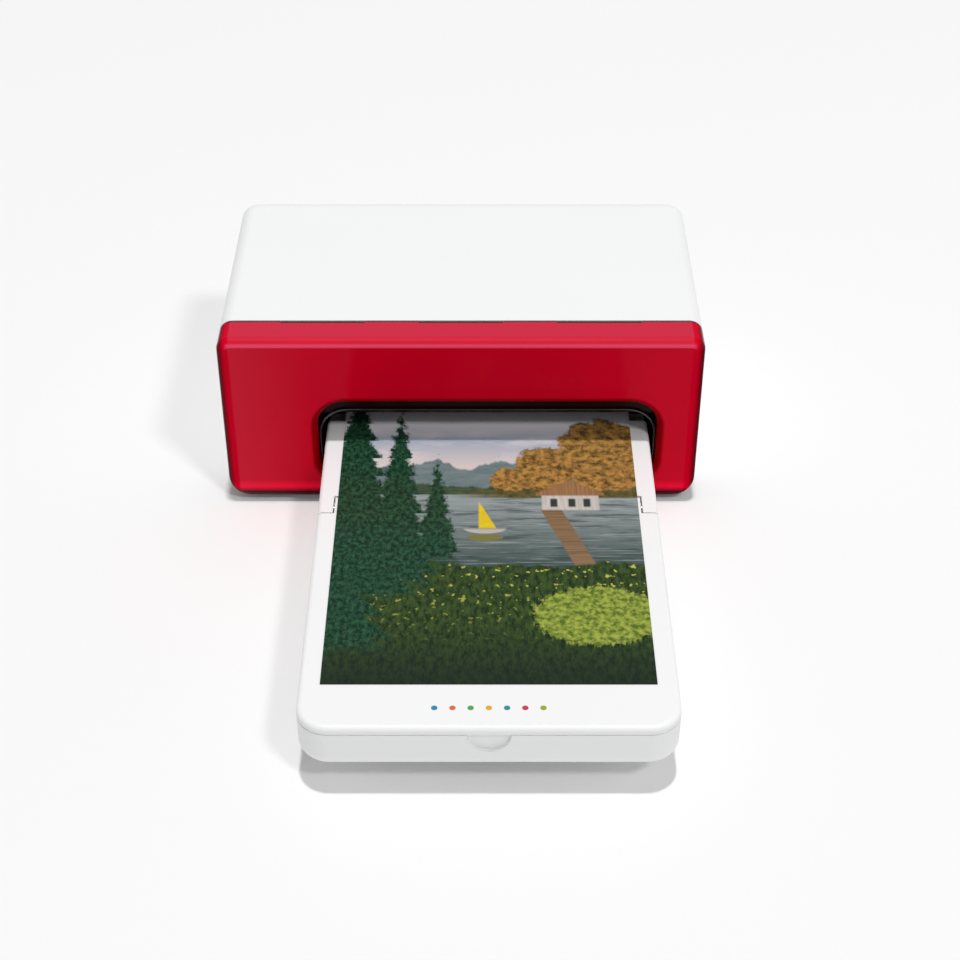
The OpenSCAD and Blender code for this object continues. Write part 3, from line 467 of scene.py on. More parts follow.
def paintTrees(picture):
    # golden trees on the far shore at the right
    crown = picture.noise(16.0, 16.0, 4.0, 6.0, 0.7)
    light = picture.noise(34.0, 34.0, 6.0, 5.0, 0.7)
    half = landscape["trunkHalf"]
    for place in landscape["crowns"]:
        u, v = place[:2]
        picture.paint(picture.box(u - half, u + half, landscape["horizon"] - 0.01, v), "trunk")
        picture.paint(picture.ellipse(place, 1.6, crown), "leaf", "leafShade", light, 0.4, 0.62)
    bank = picture.rough(landscape["horizon"] + 0.015, picture.noise(30.0, 0.0, 2.0), 0.04)
    strip = picture.allOf(picture.within(picture.v, landscape["horizon"] - 0.012, bank),
                          picture.below(0.45, picture.u, 0.1))
    picture.paint(strip, "bank", "bankShade", light)


def paintCabin(picture):
    # a pale boathouse with a timber roof, and its landing stage
    picture.paint(picture.box(*landscape["wall"]), "wall", "wallShade", picture.noise(80.0, 10.0))
    left, right, eaves, ridge = landscape["roof"]
    aside = picture.math("ABSOLUTE", picture.math("SUBTRACT", picture.u, landscape["roofMiddle"]))
    edge = picture.math("SUBTRACT", ridge, picture.math("MULTIPLY", aside, landscape["roofSlope"]))
    picture.paint(picture.box(left, right, eaves, edge), "roof", "roofShade", picture.noise(120.0, 4.0))
    half = landscape["windowHalf"]
    for u in landscape["windows"]:
        picture.paint(picture.box(u - half, u + half, *landscape["windowSpan"]), "pane")
    left, right, low, high = landscape["deck"]
    lean = picture.math("MULTIPLY", picture.math("SUBTRACT", picture.v, 0.5), landscape["deckLean"])
    deck = picture.allOf(picture.within(picture.math("ADD", picture.u, lean), left, right),
                         picture.within(picture.v, low, high))
    picture.paint(deck, "deck", "deckShade", picture.noise(3.0, 160.0, 7.0))


def paintBoat(picture):
    mast, foot, top = landscape["mast"]
    sail = picture.math("MULTIPLY", picture.math("SUBTRACT", top, picture.v), landscape["sailSlope"])
    picture.paint(picture.box(mast, picture.math("ADD", sail, mast), foot, top), "sail", "sailShade",
                  picture.noise(20.0, 60.0))
    hull = landscape["hull"]
    picture.paint(picture.allOf(picture.ellipse(hull), picture.below(picture.v, hull[1] - 0.002)), "hull")
    picture.paint(picture.ellipse(landscape["mirror"]), "mirror")


def paintMeadow(picture):
    edge = picture.rough(landscape["shore"], picture.noise(5.0, 0.0, 12.0, 5.0), 0.12)
    mask = picture.below(picture.v, edge)
    grass = picture.noise(60.0, 26.0, 2.0, 6.0, 0.7)
    picture.paint(mask, "grass", "grassShade", grass, 0.42, 0.6)
    bloom = picture.noise(44.0, 44.0, 15.0, 2.0, 0.5)
    height = picture.ramp(picture.v, 0.0, 1.0, 0.1, 0.32)
    picture.paint(picture.allOf(mask, height, picture.ramp(bloom, 0.0, 0.9, 0.62, 0.68)), "bloom")
    picture.paint(picture.ramp(picture.v, 0.85, 0.0, 0.0, 0.2), "front")
    picture.paint(picture.ellipse(landscape["bush"], 1.4, grass), "bush", "bushShade",
                  picture.noise(50.0, 50.0, 3.0), 0.4, 0.6)


def paintPines(picture):
    needles = picture.noise(46.0, 30.0, 10.0, 6.0, 0.75)
    light = picture.noise(70.0, 50.0, 11.0, 5.0, 0.7)
    tier = picture.math("FRACT", picture.math("MULTIPLY", picture.v, landscape["tiers"]))
    step = picture.math("SUBTRACT", 1.15, picture.math("MULTIPLY", tier, 0.4))
    for u, foot, top, half in landscape["pines"]:
        taper = picture.math("MULTIPLY", picture.math("SUBTRACT", top, picture.v), half / (top - foot))
        away = picture.math("ABSOLUTE", picture.math("SUBTRACT", picture.u, u))
        reach = picture.math("MULTIPLY", taper, step)
        branches = picture.below(picture.rough(away, needles, 0.09), reach, 0.006)
        picture.paint(picture.allOf(branches, picture.below(foot, picture.v, 0.02)), "pine", "pineLight",
                      light, 0.42, 0.66)


def photoPaper():
    # a printed landscape: sky, hills, a lake with a boat, golden trees and a boathouse, pines and a meadow
    material, tree, shader = newMaterial("photoPaper")
    picture = Picture(tree, "sheet", landscape["aspect"])
    for layer in (paintSky, paintHills, paintLake, paintTrees, paintCabin, paintBoat, paintMeadow,
                  paintPines):
        layer(picture)
    tree.links.new(picture.colour, shader.inputs["Base Color"])
    sheen = noiseOf(tree, objectCoords(tree), 300.0)
    tree.links.new(mapTo(tree, sheen, 0.2, 0.26), shader.inputs["Roughness"])
    shader.inputs["Specular IOR Level"].default_value = 0.15
    return material


finish["photoPaper"] = photoPaper()
print("finishes made")

# the boxes of the solids that the new pieces follow
bezelLow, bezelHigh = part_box("front_bezel")
casingLow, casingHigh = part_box("main_casing")
panLow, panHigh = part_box("base_pan")
trayLow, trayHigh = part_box("tray_base")
lidLow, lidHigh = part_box("tray_lid")
coverLow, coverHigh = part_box("tray_rear_cover")
stackLow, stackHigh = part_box("paper_stack")
printLow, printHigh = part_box("photo_print")
doorLow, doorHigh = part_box("cartridge_door")
buttonLow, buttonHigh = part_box("power_button")
lightLow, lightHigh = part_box("status_light")
inletLow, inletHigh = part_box("power_inlet")
usbLow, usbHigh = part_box("usb_socket")

faceY = bezelLow[1]
seamY = bezelHigh[1]
backY = casingHigh[1]
bodyTop = casingHigh[2]
bodyLow = panLow[2]
halfWidth = max(casingHigh[0], bezelHigh[0])
trayX = (trayLow[0] + trayHigh[0]) / 2

body = {
    "draft": math.radians(0.2),   # lean of the side walls
    "topRadius": 5.0 * mm,
    "baseRadius": 8.0 * mm,
    "backRadius": 8.0 * mm,
    "faceRadius": 3.0 * mm,
    "wall": 2.2 * mm,
    "bezelWall": 2.4 * mm,
    "seamGap": 0.25 * mm,
    "leastCorner": 0.6 * mm,
    "roundSteps": 10,
}


def roundingInset(z, low, high, lowRadius, highRadius):
    # how far a rounded edge has drawn in at height z
    if z < low + lowRadius:
        rise = low + lowRadius - z
        return lowRadius - math.sqrt(max(lowRadius ** 2 - rise ** 2, 0.0))
    if z > high - highRadius:
        rise = z - high + highRadius
        return highRadius - math.sqrt(max(highRadius ** 2 - rise ** 2, 0.0))
    return 0.0


def casingBlank(y0, y1, inset=0.0):
    # the casing's closed outline from y0 to y1, one ring at each height, before any opening
    low, high = bodyLow + inset, bodyTop - inset
    top, base, back = (body[k] - inset for k in ("topRadius", "baseRadius", "backRadius"))
    turns = [math.pi / 2 * i / body["roundSteps"] for i in range(body["roundSteps"] + 1)]
    heights = [low + base * (1 - math.cos(t)) for t in turns]
    heights += [high - back * (1 - math.cos(t)) for t in reversed(turns)]
    bm = bmesh.new()
    rings = []
    for z in heights:
        side = roundingInset(z, low, high, base, top)
        rear = roundingInset(z, low, high, base, back)
        half = halfWidth - inset - side - (z - bodyLow) * math.tan(body["draft"])
        end = y1 - rear
        corner = max(back - (side + rear) / 2, body["leastCorner"])
        outline = [(-half, y0)]
        outline += [(-half + corner - corner * math.cos(t), end - corner + corner * math.sin(t))
                    for t in turns]
        outline += [(-x, y) for x, y in reversed(outline)]
        rings.append([bm.verts.new((x, y, z)) for x, y in outline])
    for lower, upper in zip(rings, rings[1:]):
        for i in range(len(lower)):
            bm.faces.new((lower[i - 1], lower[i], upper[i], upper[i - 1]))
    bm.faces.new(rings[0])
    bm.faces.new(rings[-1])
    return bm


def bezelBlank(y0, y1, inset=0.0, frontRadius=0.0):
    # the bezel's outline from y0 to y1 with its long edges rounded, then its front edge
    low, high = bodyLow + inset, bodyTop - inset
    half = halfWidth - inset
    bm = boxMesh((-half, y0, low), (half, y1, high))
    for v in bm.verts:
        v.co.x -= math.copysign((v.co.z - bodyLow) * math.tan(body["draft"]), v.co.x)
    steps = body["roundSteps"]
    for level, radius in ((high, body["topRadius"] - inset), (low, body["baseRadius"] - inset)):
        bevelWhere(bm, lambda a, b: near(a.z, level) and near(b.z, level) and not near(a.y, b.y),
                   radius, steps)
    if frontRadius:
        bevelWhere(bm, lambda a, b: near(a.y, y0) and near(b.y, y0), frontRadius, 6)
    return bm


def roundedPrism(low, high, radius, axis, segments):
    # a box with the four edges along one axis rounded
    bm = boxMesh(low, high)
    k = "xyz".index(axis)
    bevelWhere(bm, lambda a, b: not near(a[k], b[k]), radius, segments)
    return bm


window = {
    "width": 119.8 * mm,
    "top": 43.4 * mm,
    "low": 8.4 * mm,
    "radius": 10.5 * mm,
    "lipRadius": 2.2 * mm,
    "lipDepth": 6.0 * mm,
}


def windowPrism(y0, y1):
    half = window["width"] / 2
    return roundedPrism((trayX - half, y0, window["low"]), (trayX + half, y1, window["top"]),
                        window["radius"], "y", 12)


casing = {
    "edge": 0.35 * mm,
    "cutDepth": 8.0 * mm,          # how far the back and side openings are cut inward
    "slotHalfWidth": 53.0 * mm,
    "slotLow": 28.0 * mm,
    "slotHigh": 35.5 * mm,
    "doorGap": 0.4 * mm,
    "buttonGap": 0.25 * mm,
    "lightGap": 0.1 * mm,
    "inletHeight": 12.5 * mm,
    "inletRadius": 4.2 * mm,
    "usbGap": 0.4 * mm,
    "usbRadius": 1.6 * mm,
}


def makeCasing():
    piece = newObject("casingShell", casingBlank(seamY, backY), finish["whiteShell"])
    wall, past, wide = body["wall"], shaping["past"], shaping["wide"]
    backCut = (backY - casing["cutDepth"], backY + past)
    inner = casingBlank(seamY - past, backY - wall, wall)
    below = boxMesh((-wide, seamY - past, -past), (wide, backY + past, casingLow[2]))
    slot = boxMesh((trayX - casing["slotHalfWidth"], backCut[0], casing["slotLow"]),
                   (trayX + casing["slotHalfWidth"], backCut[1], casing["slotHigh"]))
    gap = casing["doorGap"]
    door = boxMesh((halfWidth - casing["cutDepth"], doorLow[1] - gap, doorLow[2] - gap),
                   (halfWidth + past, doorHigh[1] + gap, doorHigh[2] + gap))
    holes = []
    for low, high, gap in ((buttonLow, buttonHigh, casing["buttonGap"]),
                           (lightLow, lightHigh, casing["lightGap"])):
        centre = [(low[k] + high[k]) / 2 for k in range(3)]
        holes.append(tube(centre, "y", (high[0] - low[0]) / 2 + gap, *backCut))
    inlet = ((inletLow[0] + inletHigh[0]) / 2, 0, casing["inletHeight"])
    holes.append(tube(inlet, "y", casing["inletRadius"], *backCut))
    gap = casing["usbGap"]
    usb = roundedPrism((usbLow[0] - gap, backCut[0], usbLow[2] - gap),
                       (usbHigh[0] + gap, backCut[1], usbHigh[2] + gap), casing["usbRadius"], "y", 6)
    combine(piece, [inner, below, slot, door, usb] + holes)
    softenEdges(piece, casing["edge"])
    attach(piece, "body")
    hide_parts("main_casing")


pan = {
    "edge": 0.2 * mm,
    "tongueInset": 6.0 * mm,       # from each side of the body
    "tongueFront": 2.7 * mm,       # from the bezel's face
    "tongueOverlap": 1.0 * mm,
    "tongueDepth": 1.2 * mm,
}


def makeBasePan():
    bm = casingBlank(seamY, backY)
    bmesh.ops.bisect_plane(bm, geom=bm.verts[:] + bm.edges[:] + bm.faces[:], plane_co=(0, 0, panHigh[2]),
                           plane_no=(0, 0, 1), clear_outer=True)
    rim = [e for e in bm.edges if e.is_boundary]
    bmesh.ops.edgeloop_fill(bm, edges=rim)
    piece = newObject("basePan", bm, finish["greyPlastic"])
    softenEdges(piece, pan["edge"])
    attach(piece, "body")
    half = halfWidth - pan["tongueInset"]
    bm = boxMesh((-half, faceY + pan["tongueFront"], panHigh[2] - pan["tongueDepth"]),
                 (half, seamY + pan["tongueOverlap"], panHigh[2]))
    tongue = newObject("basePanTongue", bm, finish["greyPlastic"])
    softenEdges(tongue, pan["edge"])
    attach(tongue, "body")
    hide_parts("base_pan")


makeCasing()
makeBasePan()
print("casing made")

red = {
    "face": (0.72, 0.0006, 0.02),
    "deeper": (0.67, 0.0005, 0.017),
    # painted reflection: the top faces are pinker
    "top": (0.66, 0.003, 0.032),
    # painted highlight along the rounded front top edge
    "rounding": (0.88, 0.06, 0.13),
    # painted highlight: a brighter band low on the face
    "lowHighlight": (1.0, 0.001, 0.035),
    # painted shade along the sides and bottom, also the dark seam line
    "rim": (0.05, 0.0, 0.003),
    # painted shade round the window
    "lip": (0.3, 0.0, 0.002),
    "sideShadeWidth": 2.9 * mm,
    "sideRound": 4.3 * mm,
    "lowShadeHeight": 5.0 * mm,
    "lowHighlightHeight": 8.0 * mm,
    "backRim": 0.8 * mm,
    "lipShadeWidth": 2.7 * mm,
    "topReflectionTurn": (0.85, 0.97),       # how far up the surface faces where the top's painted reflection comes in
    "lineTurn": (0.02, 0.1, 0.4, 0.6),
    "cornerTurn": (0.5, 0.7, 0.97, 0.995),
    "cornerRough": 0.45,
    "cornerCalm": 0.75,
    "lipCalm": 0.85,
    "polish": (0.07, 0.095),
    "faceGloss": 0.2,
    "calmGloss": 0.06,
    "topGloss": 0.9,
    "bandEnd": -55.0 * mm,
    "glossTint": (1.0, 0.7, 1.0),
}


def windowDistance(tree, x, z):
    # how far a point of the face lies outside the window's rounded outline
    middle = (window["top"] + window["low"]) / 2
    halfX = window["width"] / 2 - window["radius"]
    halfZ = (window["top"] - window["low"]) / 2 - window["radius"]
    squares = []
    for value, centre, half in ((x, trayX, halfX), (z, middle, halfZ)):
        away = calc(tree, "ABSOLUTE", calc(tree, "SUBTRACT", value, centre))
        over = calc(tree, "MAXIMUM", calc(tree, "SUBTRACT", away, half), 0.0)
        squares.append(calc(tree, "MULTIPLY", over, over))
    return calc(tree, "SUBTRACT", calc(tree, "SQRT", calc(tree, "ADD", *squares)), window["radius"])


def fadeOut(tree, value, start, end, high=1.0):
    return mapTo(tree, value, high, 0.0, start, end)


def fadeIn(tree, value, start, end):
    return mapTo(tree, value, 0.0, 1.0, start, end)


def turnedBetween(tree, up, turn):
    # 1 where the surface faces up by an amount inside the turn's middle two values
    return calc(tree, "MULTIPLY", fadeIn(tree, up, *turn[:2]), fadeOut(tree, up, *turn[2:]))


def lessBy(tree, value, mask, amount):
    return calc(tree, "MULTIPLY", value, calc(tree, "SUBTRACT", 1.0, calc(tree, "MULTIPLY", mask, amount)))


def redBezel():
    # deep glossy red with painted light: painted shade makes it nearly black along its outer sides, its
    # bottom and round the window, painted highlights run along its rounded front top edge and low on its
    # face, and a pinker painted reflection lies on its top; a dark line marks the seam
    material, tree, shader = newMaterial("redBezel")
    coords = addNode(tree, "ShaderNodeTexCoord")
    place = addNode(tree, "ShaderNodeSeparateXYZ")
    tree.links.new(coords.outputs["Object"], place.inputs[0])
    x, y, z = (place.outputs[k] for k in "XYZ")
    facing = addNode(tree, "ShaderNodeSeparateXYZ")
    tree.links.new(coords.outputs["Normal"], facing.inputs[0])
    up = facing.outputs["Z"]

    # places on the bezel
    height = calc(tree, "SUBTRACT", z, bodyLow)
    lean = calc(tree, "MULTIPLY", height, math.tan(body["draft"]))
    reach = calc(tree, "SUBTRACT", halfWidth, calc(tree, "ADD", calc(tree, "ABSOLUTE", x), lean))
    fromSeam = calc(tree, "SUBTRACT", seamY - body["seamGap"], y)
    # painted shade over the sides' rounding and along the bottom; the seam part is the dark joint line
    sideShade = fadeOut(tree, reach, 0.3 * red["sideShadeWidth"], red["sideShadeWidth"], 0.9)
    lowShade = fadeOut(tree, height, 0.6 * red["lowShadeHeight"], red["lowShadeHeight"])
    seam = fadeOut(tree, fromSeam, 0.6 * red["backRim"], 1.4 * red["backRim"])
    rim = calc(tree, "MAXIMUM", calc(tree, "MAXIMUM", sideShade, lowShade), seam)
    # painted shade: darker towards the window's edge
    lip = fadeOut(tree, windowDistance(tree, x, z), 0.55 * red["lipShadeWidth"], red["lipShadeWidth"])
    offSides = fadeIn(tree, reach, red["sideShadeWidth"], red["sideRound"])
    corner = turnedBetween(tree, up, red["cornerTurn"])

    # colour
    broad = noiseOf(tree, coords.outputs["Object"], 30.0)
    face = mixColours(tree, mapTo(tree, broad, 0.0, 1.0), red["face"], red["deeper"])
    # painted reflection: a pinker colour on the faces that turn up
    face = mixColours(tree, fadeIn(tree, up, *red["topReflectionTurn"]), face, red["top"])
    # painted highlight: a brighter band low on the face, kept off the sides
    low = fadeOut(tree, height, 0.8 * red["lowHighlightHeight"], red["lowHighlightHeight"])
    face = mixColours(tree, calc(tree, "MULTIPLY", low, offSides), face, red["lowHighlight"])
    # painted highlight on the rounded front top edge
    line = calc(tree, "MULTIPLY", turnedBetween(tree, up, red["lineTurn"]), offSides)
    face = mixColours(tree, line, face, red["rounding"])
    # the painted shade of the sides and bottom, and the seam line
    face = mixColours(tree, rim, face, red["rim"])
    # painted shade round the window
    tree.links.new(mixColours(tree, lip, face, red["lip"]), shader.inputs["Base Color"])

    # gloss
    fine = noiseOf(tree, coords.outputs["Object"], 700.0, 2.0)
    extra = calc(tree, "MULTIPLY", corner, red["cornerRough"])
    rough = calc(tree, "ADD", mapTo(tree, fine, *red["polish"]), extra)
    tree.links.new(rough, shader.inputs["Roughness"])
    band = mapTo(tree, x, red["faceGloss"], red["calmGloss"], -halfWidth + red["sideRound"], red["bandEnd"])
    gloss = calc(tree, "MAXIMUM", band, mapTo(tree, up, 0.0, red["topGloss"], 0.1, 0.6))
    inner = mapTo(tree, reach, 0.1, 1.0, 0.95 * red["sideRound"], red["sideRound"])
    gloss = calc(tree, "MULTIPLY", gloss, inner)
    gloss = lessBy(tree, lessBy(tree, gloss, corner, red["cornerCalm"]), lip, red["lipCalm"])
    tree.links.new(gloss, shader.inputs["Specular IOR Level"])
    shader.inputs["Specular Tint"].default_value = (*red["glossTint"], 1.0)
    return material


finish["redBezel"] = redBezel()

bezel = {
    "ventWidth": 29.3 * mm,
    "ventGap": 1.3 * mm,
    "ventPitch": 47.7 * mm,
    "ventDepth": 3.4 * mm,
    # depth and gap of the dark blocks under the vents, which are painted shade
    "shadeBlockDrop": 0.35 * mm,
    "shadeBlockGap": 0.1 * mm,
    "trimRadius": 0.5 * mm,
    "trimInset": 0.4 * mm,
    "trimDepth": 5.6 * mm,
    "trimDrop": 6.3 * mm,
    "edge": 0.35 * mm,
    "sharp": 50.0,                # degrees above which an edge is rounded
}


def makeBezel():
    past = shaping["past"]
    bm = bezelBlank(faceY, seamY - body["seamGap"], frontRadius=body["faceRadius"])
    piece = newObject("bezelFrame", bm, finish["redBezel"])
    hollow = bezelBlank(faceY + window["lipDepth"], seamY + past, body["bezelWall"])
    half = bezel["ventWidth"] / 2
    vents = [boxMesh((x - half, seamY - bezel["ventGap"], bodyTop - bezel["ventDepth"]),
                     (x + half, seamY + past, bodyTop + past)) for x in ventPlaces()]
    combine(piece, [hollow, windowPrism(faceY - past, seamY + past)] + vents)
    roundWindowEdge(piece)
    softenEdges(piece, bezel["edge"], bezel["sharp"])
    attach(piece, "body")
    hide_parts("front_bezel")


def ventPlaces():
    return [i * bezel["ventPitch"] for i in (-1, 0, 1)]


def makeVentShadeBlocks():
    # painted shade: a dark block just under the top of each vent, standing in for the shade in its hollow
    gap = bezel["shadeBlockGap"]
    half = bezel["ventWidth"] / 2 - gap
    for i, x in enumerate(ventPlaces()):
        bm = boxMesh((x - half, seamY - bezel["ventGap"] + gap, bodyTop - bezel["ventDepth"]),
                     (x + half, seamY - gap, bodyTop - bezel["shadeBlockDrop"]))
        piece = newObject("ventShadeBlock%d" % i, bm, finish["blackPlastic"])
        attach(piece, "body")


def makeWindowTrim():
    # a thin glossy black bead along the lower edge of the dark lip and down the window's sides
    half = window["width"] / 2 - bezel["trimInset"]
    top, low = window["top"] - bezel["trimDrop"], window["low"] + bezel["trimInset"]
    r = window["radius"] - bezel["trimInset"]
    turns = [math.pi / 2 * i / 12 for i in range(13)]
    right = [(half - r + r * math.sin(t), top - r + r * math.cos(t)) for t in turns]
    right += [(half - r + r * math.cos(t), low + r - r * math.sin(t)) for t in turns]
    outline = right + [(-x, z) for x, z in reversed(right)]
    curve = bpy.data.curves.new("windowTrimPath", "CURVE")
    curve.dimensions = "3D"
    curve.bevel_depth = bezel["trimRadius"]
    curve.bevel_resolution = 4
    path = curve.splines.new("POLY")
    path.points.add(len(outline) - 1)
    for point, (x, z) in zip(path.points, outline):
        point.co = (trayX + x, faceY + bezel["trimDepth"], z, 1.0)
    path.use_cyclic_u = True
    carrier = bpy.data.objects.new("windowTrimPath", curve)
    bpy.context.scene.collection.objects.link(carrier)
    bpy.context.view_layer.update()
    mesh = bpy.data.meshes.new_from_object(carrier.evaluated_get(bpy.context.evaluated_depsgraph_get()))
    bpy.data.objects.remove(carrier)
    bm = bmesh.new()
    bm.from_mesh(mesh)
    piece = newObject("windowTrim", bm, finish["blackGloss"])
    shadeSmooth(piece)
    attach(piece, "body")


def roundWindowEdge(piece):
    # rounds the window's front edge into a lip
    bm = mergeFlats(piece)
    middle, reach = (window["top"] + window["low"]) / 2, 0.1 * mm
    lip = []
    for e in bm.edges:
        onFace = all(near(v.co.y, faceY) for v in e.verts)
        inside = all(abs(v.co.x - trayX) < window["width"] / 2 + reach
                     and abs(v.co.z - middle) < window["top"] - middle + reach for v in e.verts)
        if onFace and inside and len(e.link_faces) == 2 and e.calc_face_angle(0.0) > 1.0:
            lip.append(e)
    bmesh.ops.bevel(bm, geom=lip, offset=window["lipRadius"], offset_type="OFFSET", segments=6,
                    profile=0.5, affect="EDGES", material=-1, clamp_overlap=False)
    bm.to_mesh(piece.data)
    bm.free()


makeBezel()
makeVentShadeBlocks()
makeWindowTrim()
print("bezel made")

tray = {
    "cornerRadius": 10.0 * mm,
    "edgeRadius": 4.5 * mm,
    "lidRound": 1.6 * mm,
    "notchRadius": 6.6 * mm,
    "notchDepth": 1.2 * mm,
    "cavityHalfWidth": 51.8 * mm,
    "floor": 1.5 * mm,
    "tabHalfWidth": 51.7 * mm,
    "tabLength": 8.0 * mm,
    "tabOverlap": 3.0 * mm,
    "lidGap": 0.4 * mm,
    "lidUnder": 0.3 * mm,
    "slotWidth": 0.5 * mm,
    "slotEnd": 0.9 * mm,           # gap behind the lid's tab
    "frontWall": 3.0 * mm,
    "backWall": 2.0 * mm,
    "cavityRadius": 2.0 * mm,
    "rearHeight": 20.4 * mm,       # the side walls' top behind the rails
    "mouthHeight": 18.5 * mm,      # the back wall's top
    "mouthLength": 4.0 * mm,
    "edge": 0.3 * mm,
    "lidEdge": 0.25 * mm,
    "sharp": 50.0,                 # degrees above which an edge is rounded
}


def trayBlank(y1, low, high, lowRadius=0.0, topRadius=0.0):
    # the tray's outline from its front to y1, with its lower and upper edges rounded
    half = (trayHigh[0] - trayLow[0]) / 2
    frontY = trayLow[1]
    bm = boxMesh((trayX - half, frontY, low), (trayX + half, y1, high))
    bevelWhere(bm, lambda a, b: near(a.y, frontY) and near(b.y, frontY) and not near(a.z, b.z),
               tray["cornerRadius"], 14)
    for level, radius, steps in ((low, lowRadius, 8), (high, topRadius, 4)):
        if radius:
            bevelWhere(bm, lambda a, b: near(a.z, level) and near(b.z, level)
                       and not (near(a.y, y1) and near(b.y, y1)), radius, steps)
    return bm


def makeTrayBase():
    piece = newObject("trayShell", trayBlank(trayHigh[1], trayLow[2], trayHigh[2], tray["edgeRadius"]),
                      finish["whiteShell"])
    half, past, wide = tray["cavityHalfWidth"], shaping["past"], shaping["wide"]
    above = trayHigh[2] + past
    cavity = roundedPrism((trayX - half, trayLow[1] + tray["frontWall"], trayLow[2] + tray["floor"]),
                          (trayX + half, trayHigh[1] - tray["backWall"], above), tray["cavityRadius"], "z", 4)
    behind = boxMesh((-wide, coverHigh[1], tray["rearHeight"]), (wide, trayHigh[1] + past, above))
    mouth = boxMesh((trayX - half, trayHigh[1] - tray["mouthLength"], tray["mouthHeight"]),
                    (trayX + half, trayHigh[1] + past, above))
    notch = tube((trayX, 0, trayHigh[2]), "y", tray["notchRadius"], trayLow[1] - past,
                 trayLow[1] + tray["notchDepth"], 64)
    combine(piece, [cavity, behind, mouth, notch])
    softenEdges(piece, tray["edge"], tray["sharp"])
    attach(piece, "tray")
    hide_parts("tray_base")


paperRest = {
    "ribPlaces": (-34.0 * mm, 0.0, 34.0 * mm),
    "ribHalf": 1.0 * mm,
    "ribEnd": -7.0 * mm,
    "stopStart": 1.8 * mm,         # in front of the stack
    "stopEnd": 0.3 * mm,
    "stopRise": 1.5 * mm,
}


def makePaperRest():
    # ribs under the stack of sheets and a low wall in front of it
    floor = trayLow[2] + tray["floor"]
    for i, x in enumerate(paperRest["ribPlaces"]):
        bm = boxMesh((trayX + x - paperRest["ribHalf"], stackLow[1], floor),
                     (trayX + x + paperRest["ribHalf"], paperRest["ribEnd"], stackLow[2]))
        rib = newObject("paperRib%d" % i, bm, finish["whiteShell"])
        softenEdges(rib, tray["edge"])
        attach(rib, "tray")
    half = tray["cavityHalfWidth"]
    bm = boxMesh((trayX - half, stackLow[1] - paperRest["stopStart"], floor),
                 (trayX + half, stackLow[1] - paperRest["stopEnd"], stackHigh[2] + paperRest["stopRise"]))
    stop = newObject("paperStop", bm, finish["whiteShell"])
    softenEdges(stop, tray["edge"])
    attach(stop, "tray")


def makeTrayLid():
    blank = trayBlank(coverLow[1] - tray["lidGap"], lidLow[2], lidHigh[2], tray["lidUnder"], tray["lidRound"])
    piece = newObject("trayLid", blank, finish["whiteShell"])
    tab = boxMesh((trayX - tray["tabHalfWidth"], coverLow[1] - tray["tabOverlap"], lidLow[2]),
                  (trayX + tray["tabHalfWidth"], coverLow[1] + tray["tabLength"], lidHigh[2]))
    combine(piece, [tab], "UNION")
    softenEdges(piece, tray["lidEdge"], tray["sharp"])
    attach(piece, "lid")
    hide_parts("tray_lid")


dots = {
    "y": -111.6 * mm,
    "radius": 0.95 * mm,
    "pitch": 5.4 * mm,
    "height": 0.06 * mm,
    "roughness": 0.35,
    "variation": 0.06,
    "colours": ((0.02, 0.28, 0.45), (0.75, 0.16, 0.07), (0.1, 0.4, 0.12), (0.85, 0.45, 0.02),
                (0.03, 0.3, 0.3), (0.6, 0.04, 0.1), (0.3, 0.45, 0.03)),
}


def makeLidDots():
    # a row of small printed dots on the lid's front margin
    count = len(dots["colours"])
    for i, colour in enumerate(dots["colours"]):
        x = trayX + (i - (count - 1) / 2) * dots["pitch"]
        ink = plastic("dotInk%d" % i, colour, dots["roughness"], variation=dots["variation"])
        bm = tube((x, dots["y"], 0), "z", dots["radius"], lidHigh[2] - dots["height"],
                  lidHigh[2] + dots["height"], 32)
        disc = newObject("lidDot%d" % i, bm, ink)
        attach(disc, "lid")


def makeTrayCover():
    half = (coverHigh[0] - coverLow[0]) / 2
    bm = boxMesh((trayX - half, coverLow[1], coverLow[2]), (trayX + half, coverHigh[1], coverHigh[2]))
    bevelWhere(bm, lambda a, b: near(a.z, coverHigh[2]) and near(b.z, coverHigh[2]) and near(a.x, b.x),
               tray["lidRound"], 4)
    piece = newObject("trayRails", bm, finish["whiteShell"])
    reach, past = tray["tabHalfWidth"] + tray["slotWidth"], shaping["past"]
    gap = boxMesh((trayX - reach, coverLow[1] - past, coverLow[2] - past),
                  (trayX + reach, coverLow[1] + tray["tabLength"] + tray["slotEnd"], coverHigh[2] + past))
    combine(piece, [gap])
    softenEdges(piece, tray["lidEdge"], tray["sharp"])
    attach(piece, "tray")
    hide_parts("tray_rear_cover")


makeTrayBase()
makePaperRest()
makeTrayLid()
makeLidDots()
makeTrayCover()
print("tray made")

photo = {
    "cuts": 63,                    # along the sheet
    "bendLength": 8.0 * mm,
    "bendMiddle": 4.0 * mm,        # behind the rails' front end
}


def makePrint():
    bm = boxMesh(printLow, printHigh)
    runs = [e for e in bm.edges if not near(e.verts[0].co.y, e.verts[1].co.y)]
    bmesh.ops.subdivide_edges(bm, edges=runs, cuts=photo["cuts"], use_grid_fill=True)
    layer = bm.loops.layers.uv.new("sheet")
    width, length = printHigh[0] - printLow[0], printHigh[1] - printLow[1]
    for face in bm.faces:
        for loop in face.loops:
            co = loop.vert.co
            loop[layer].uv = ((co.x - printLow[0]) / width, (co.y - printLow[1]) / length)
    piece = newObject("photoSheet", bm, finish["photoPaper"])
    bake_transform(piece)
    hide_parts("photo_print")


makePrint()
print("print made")

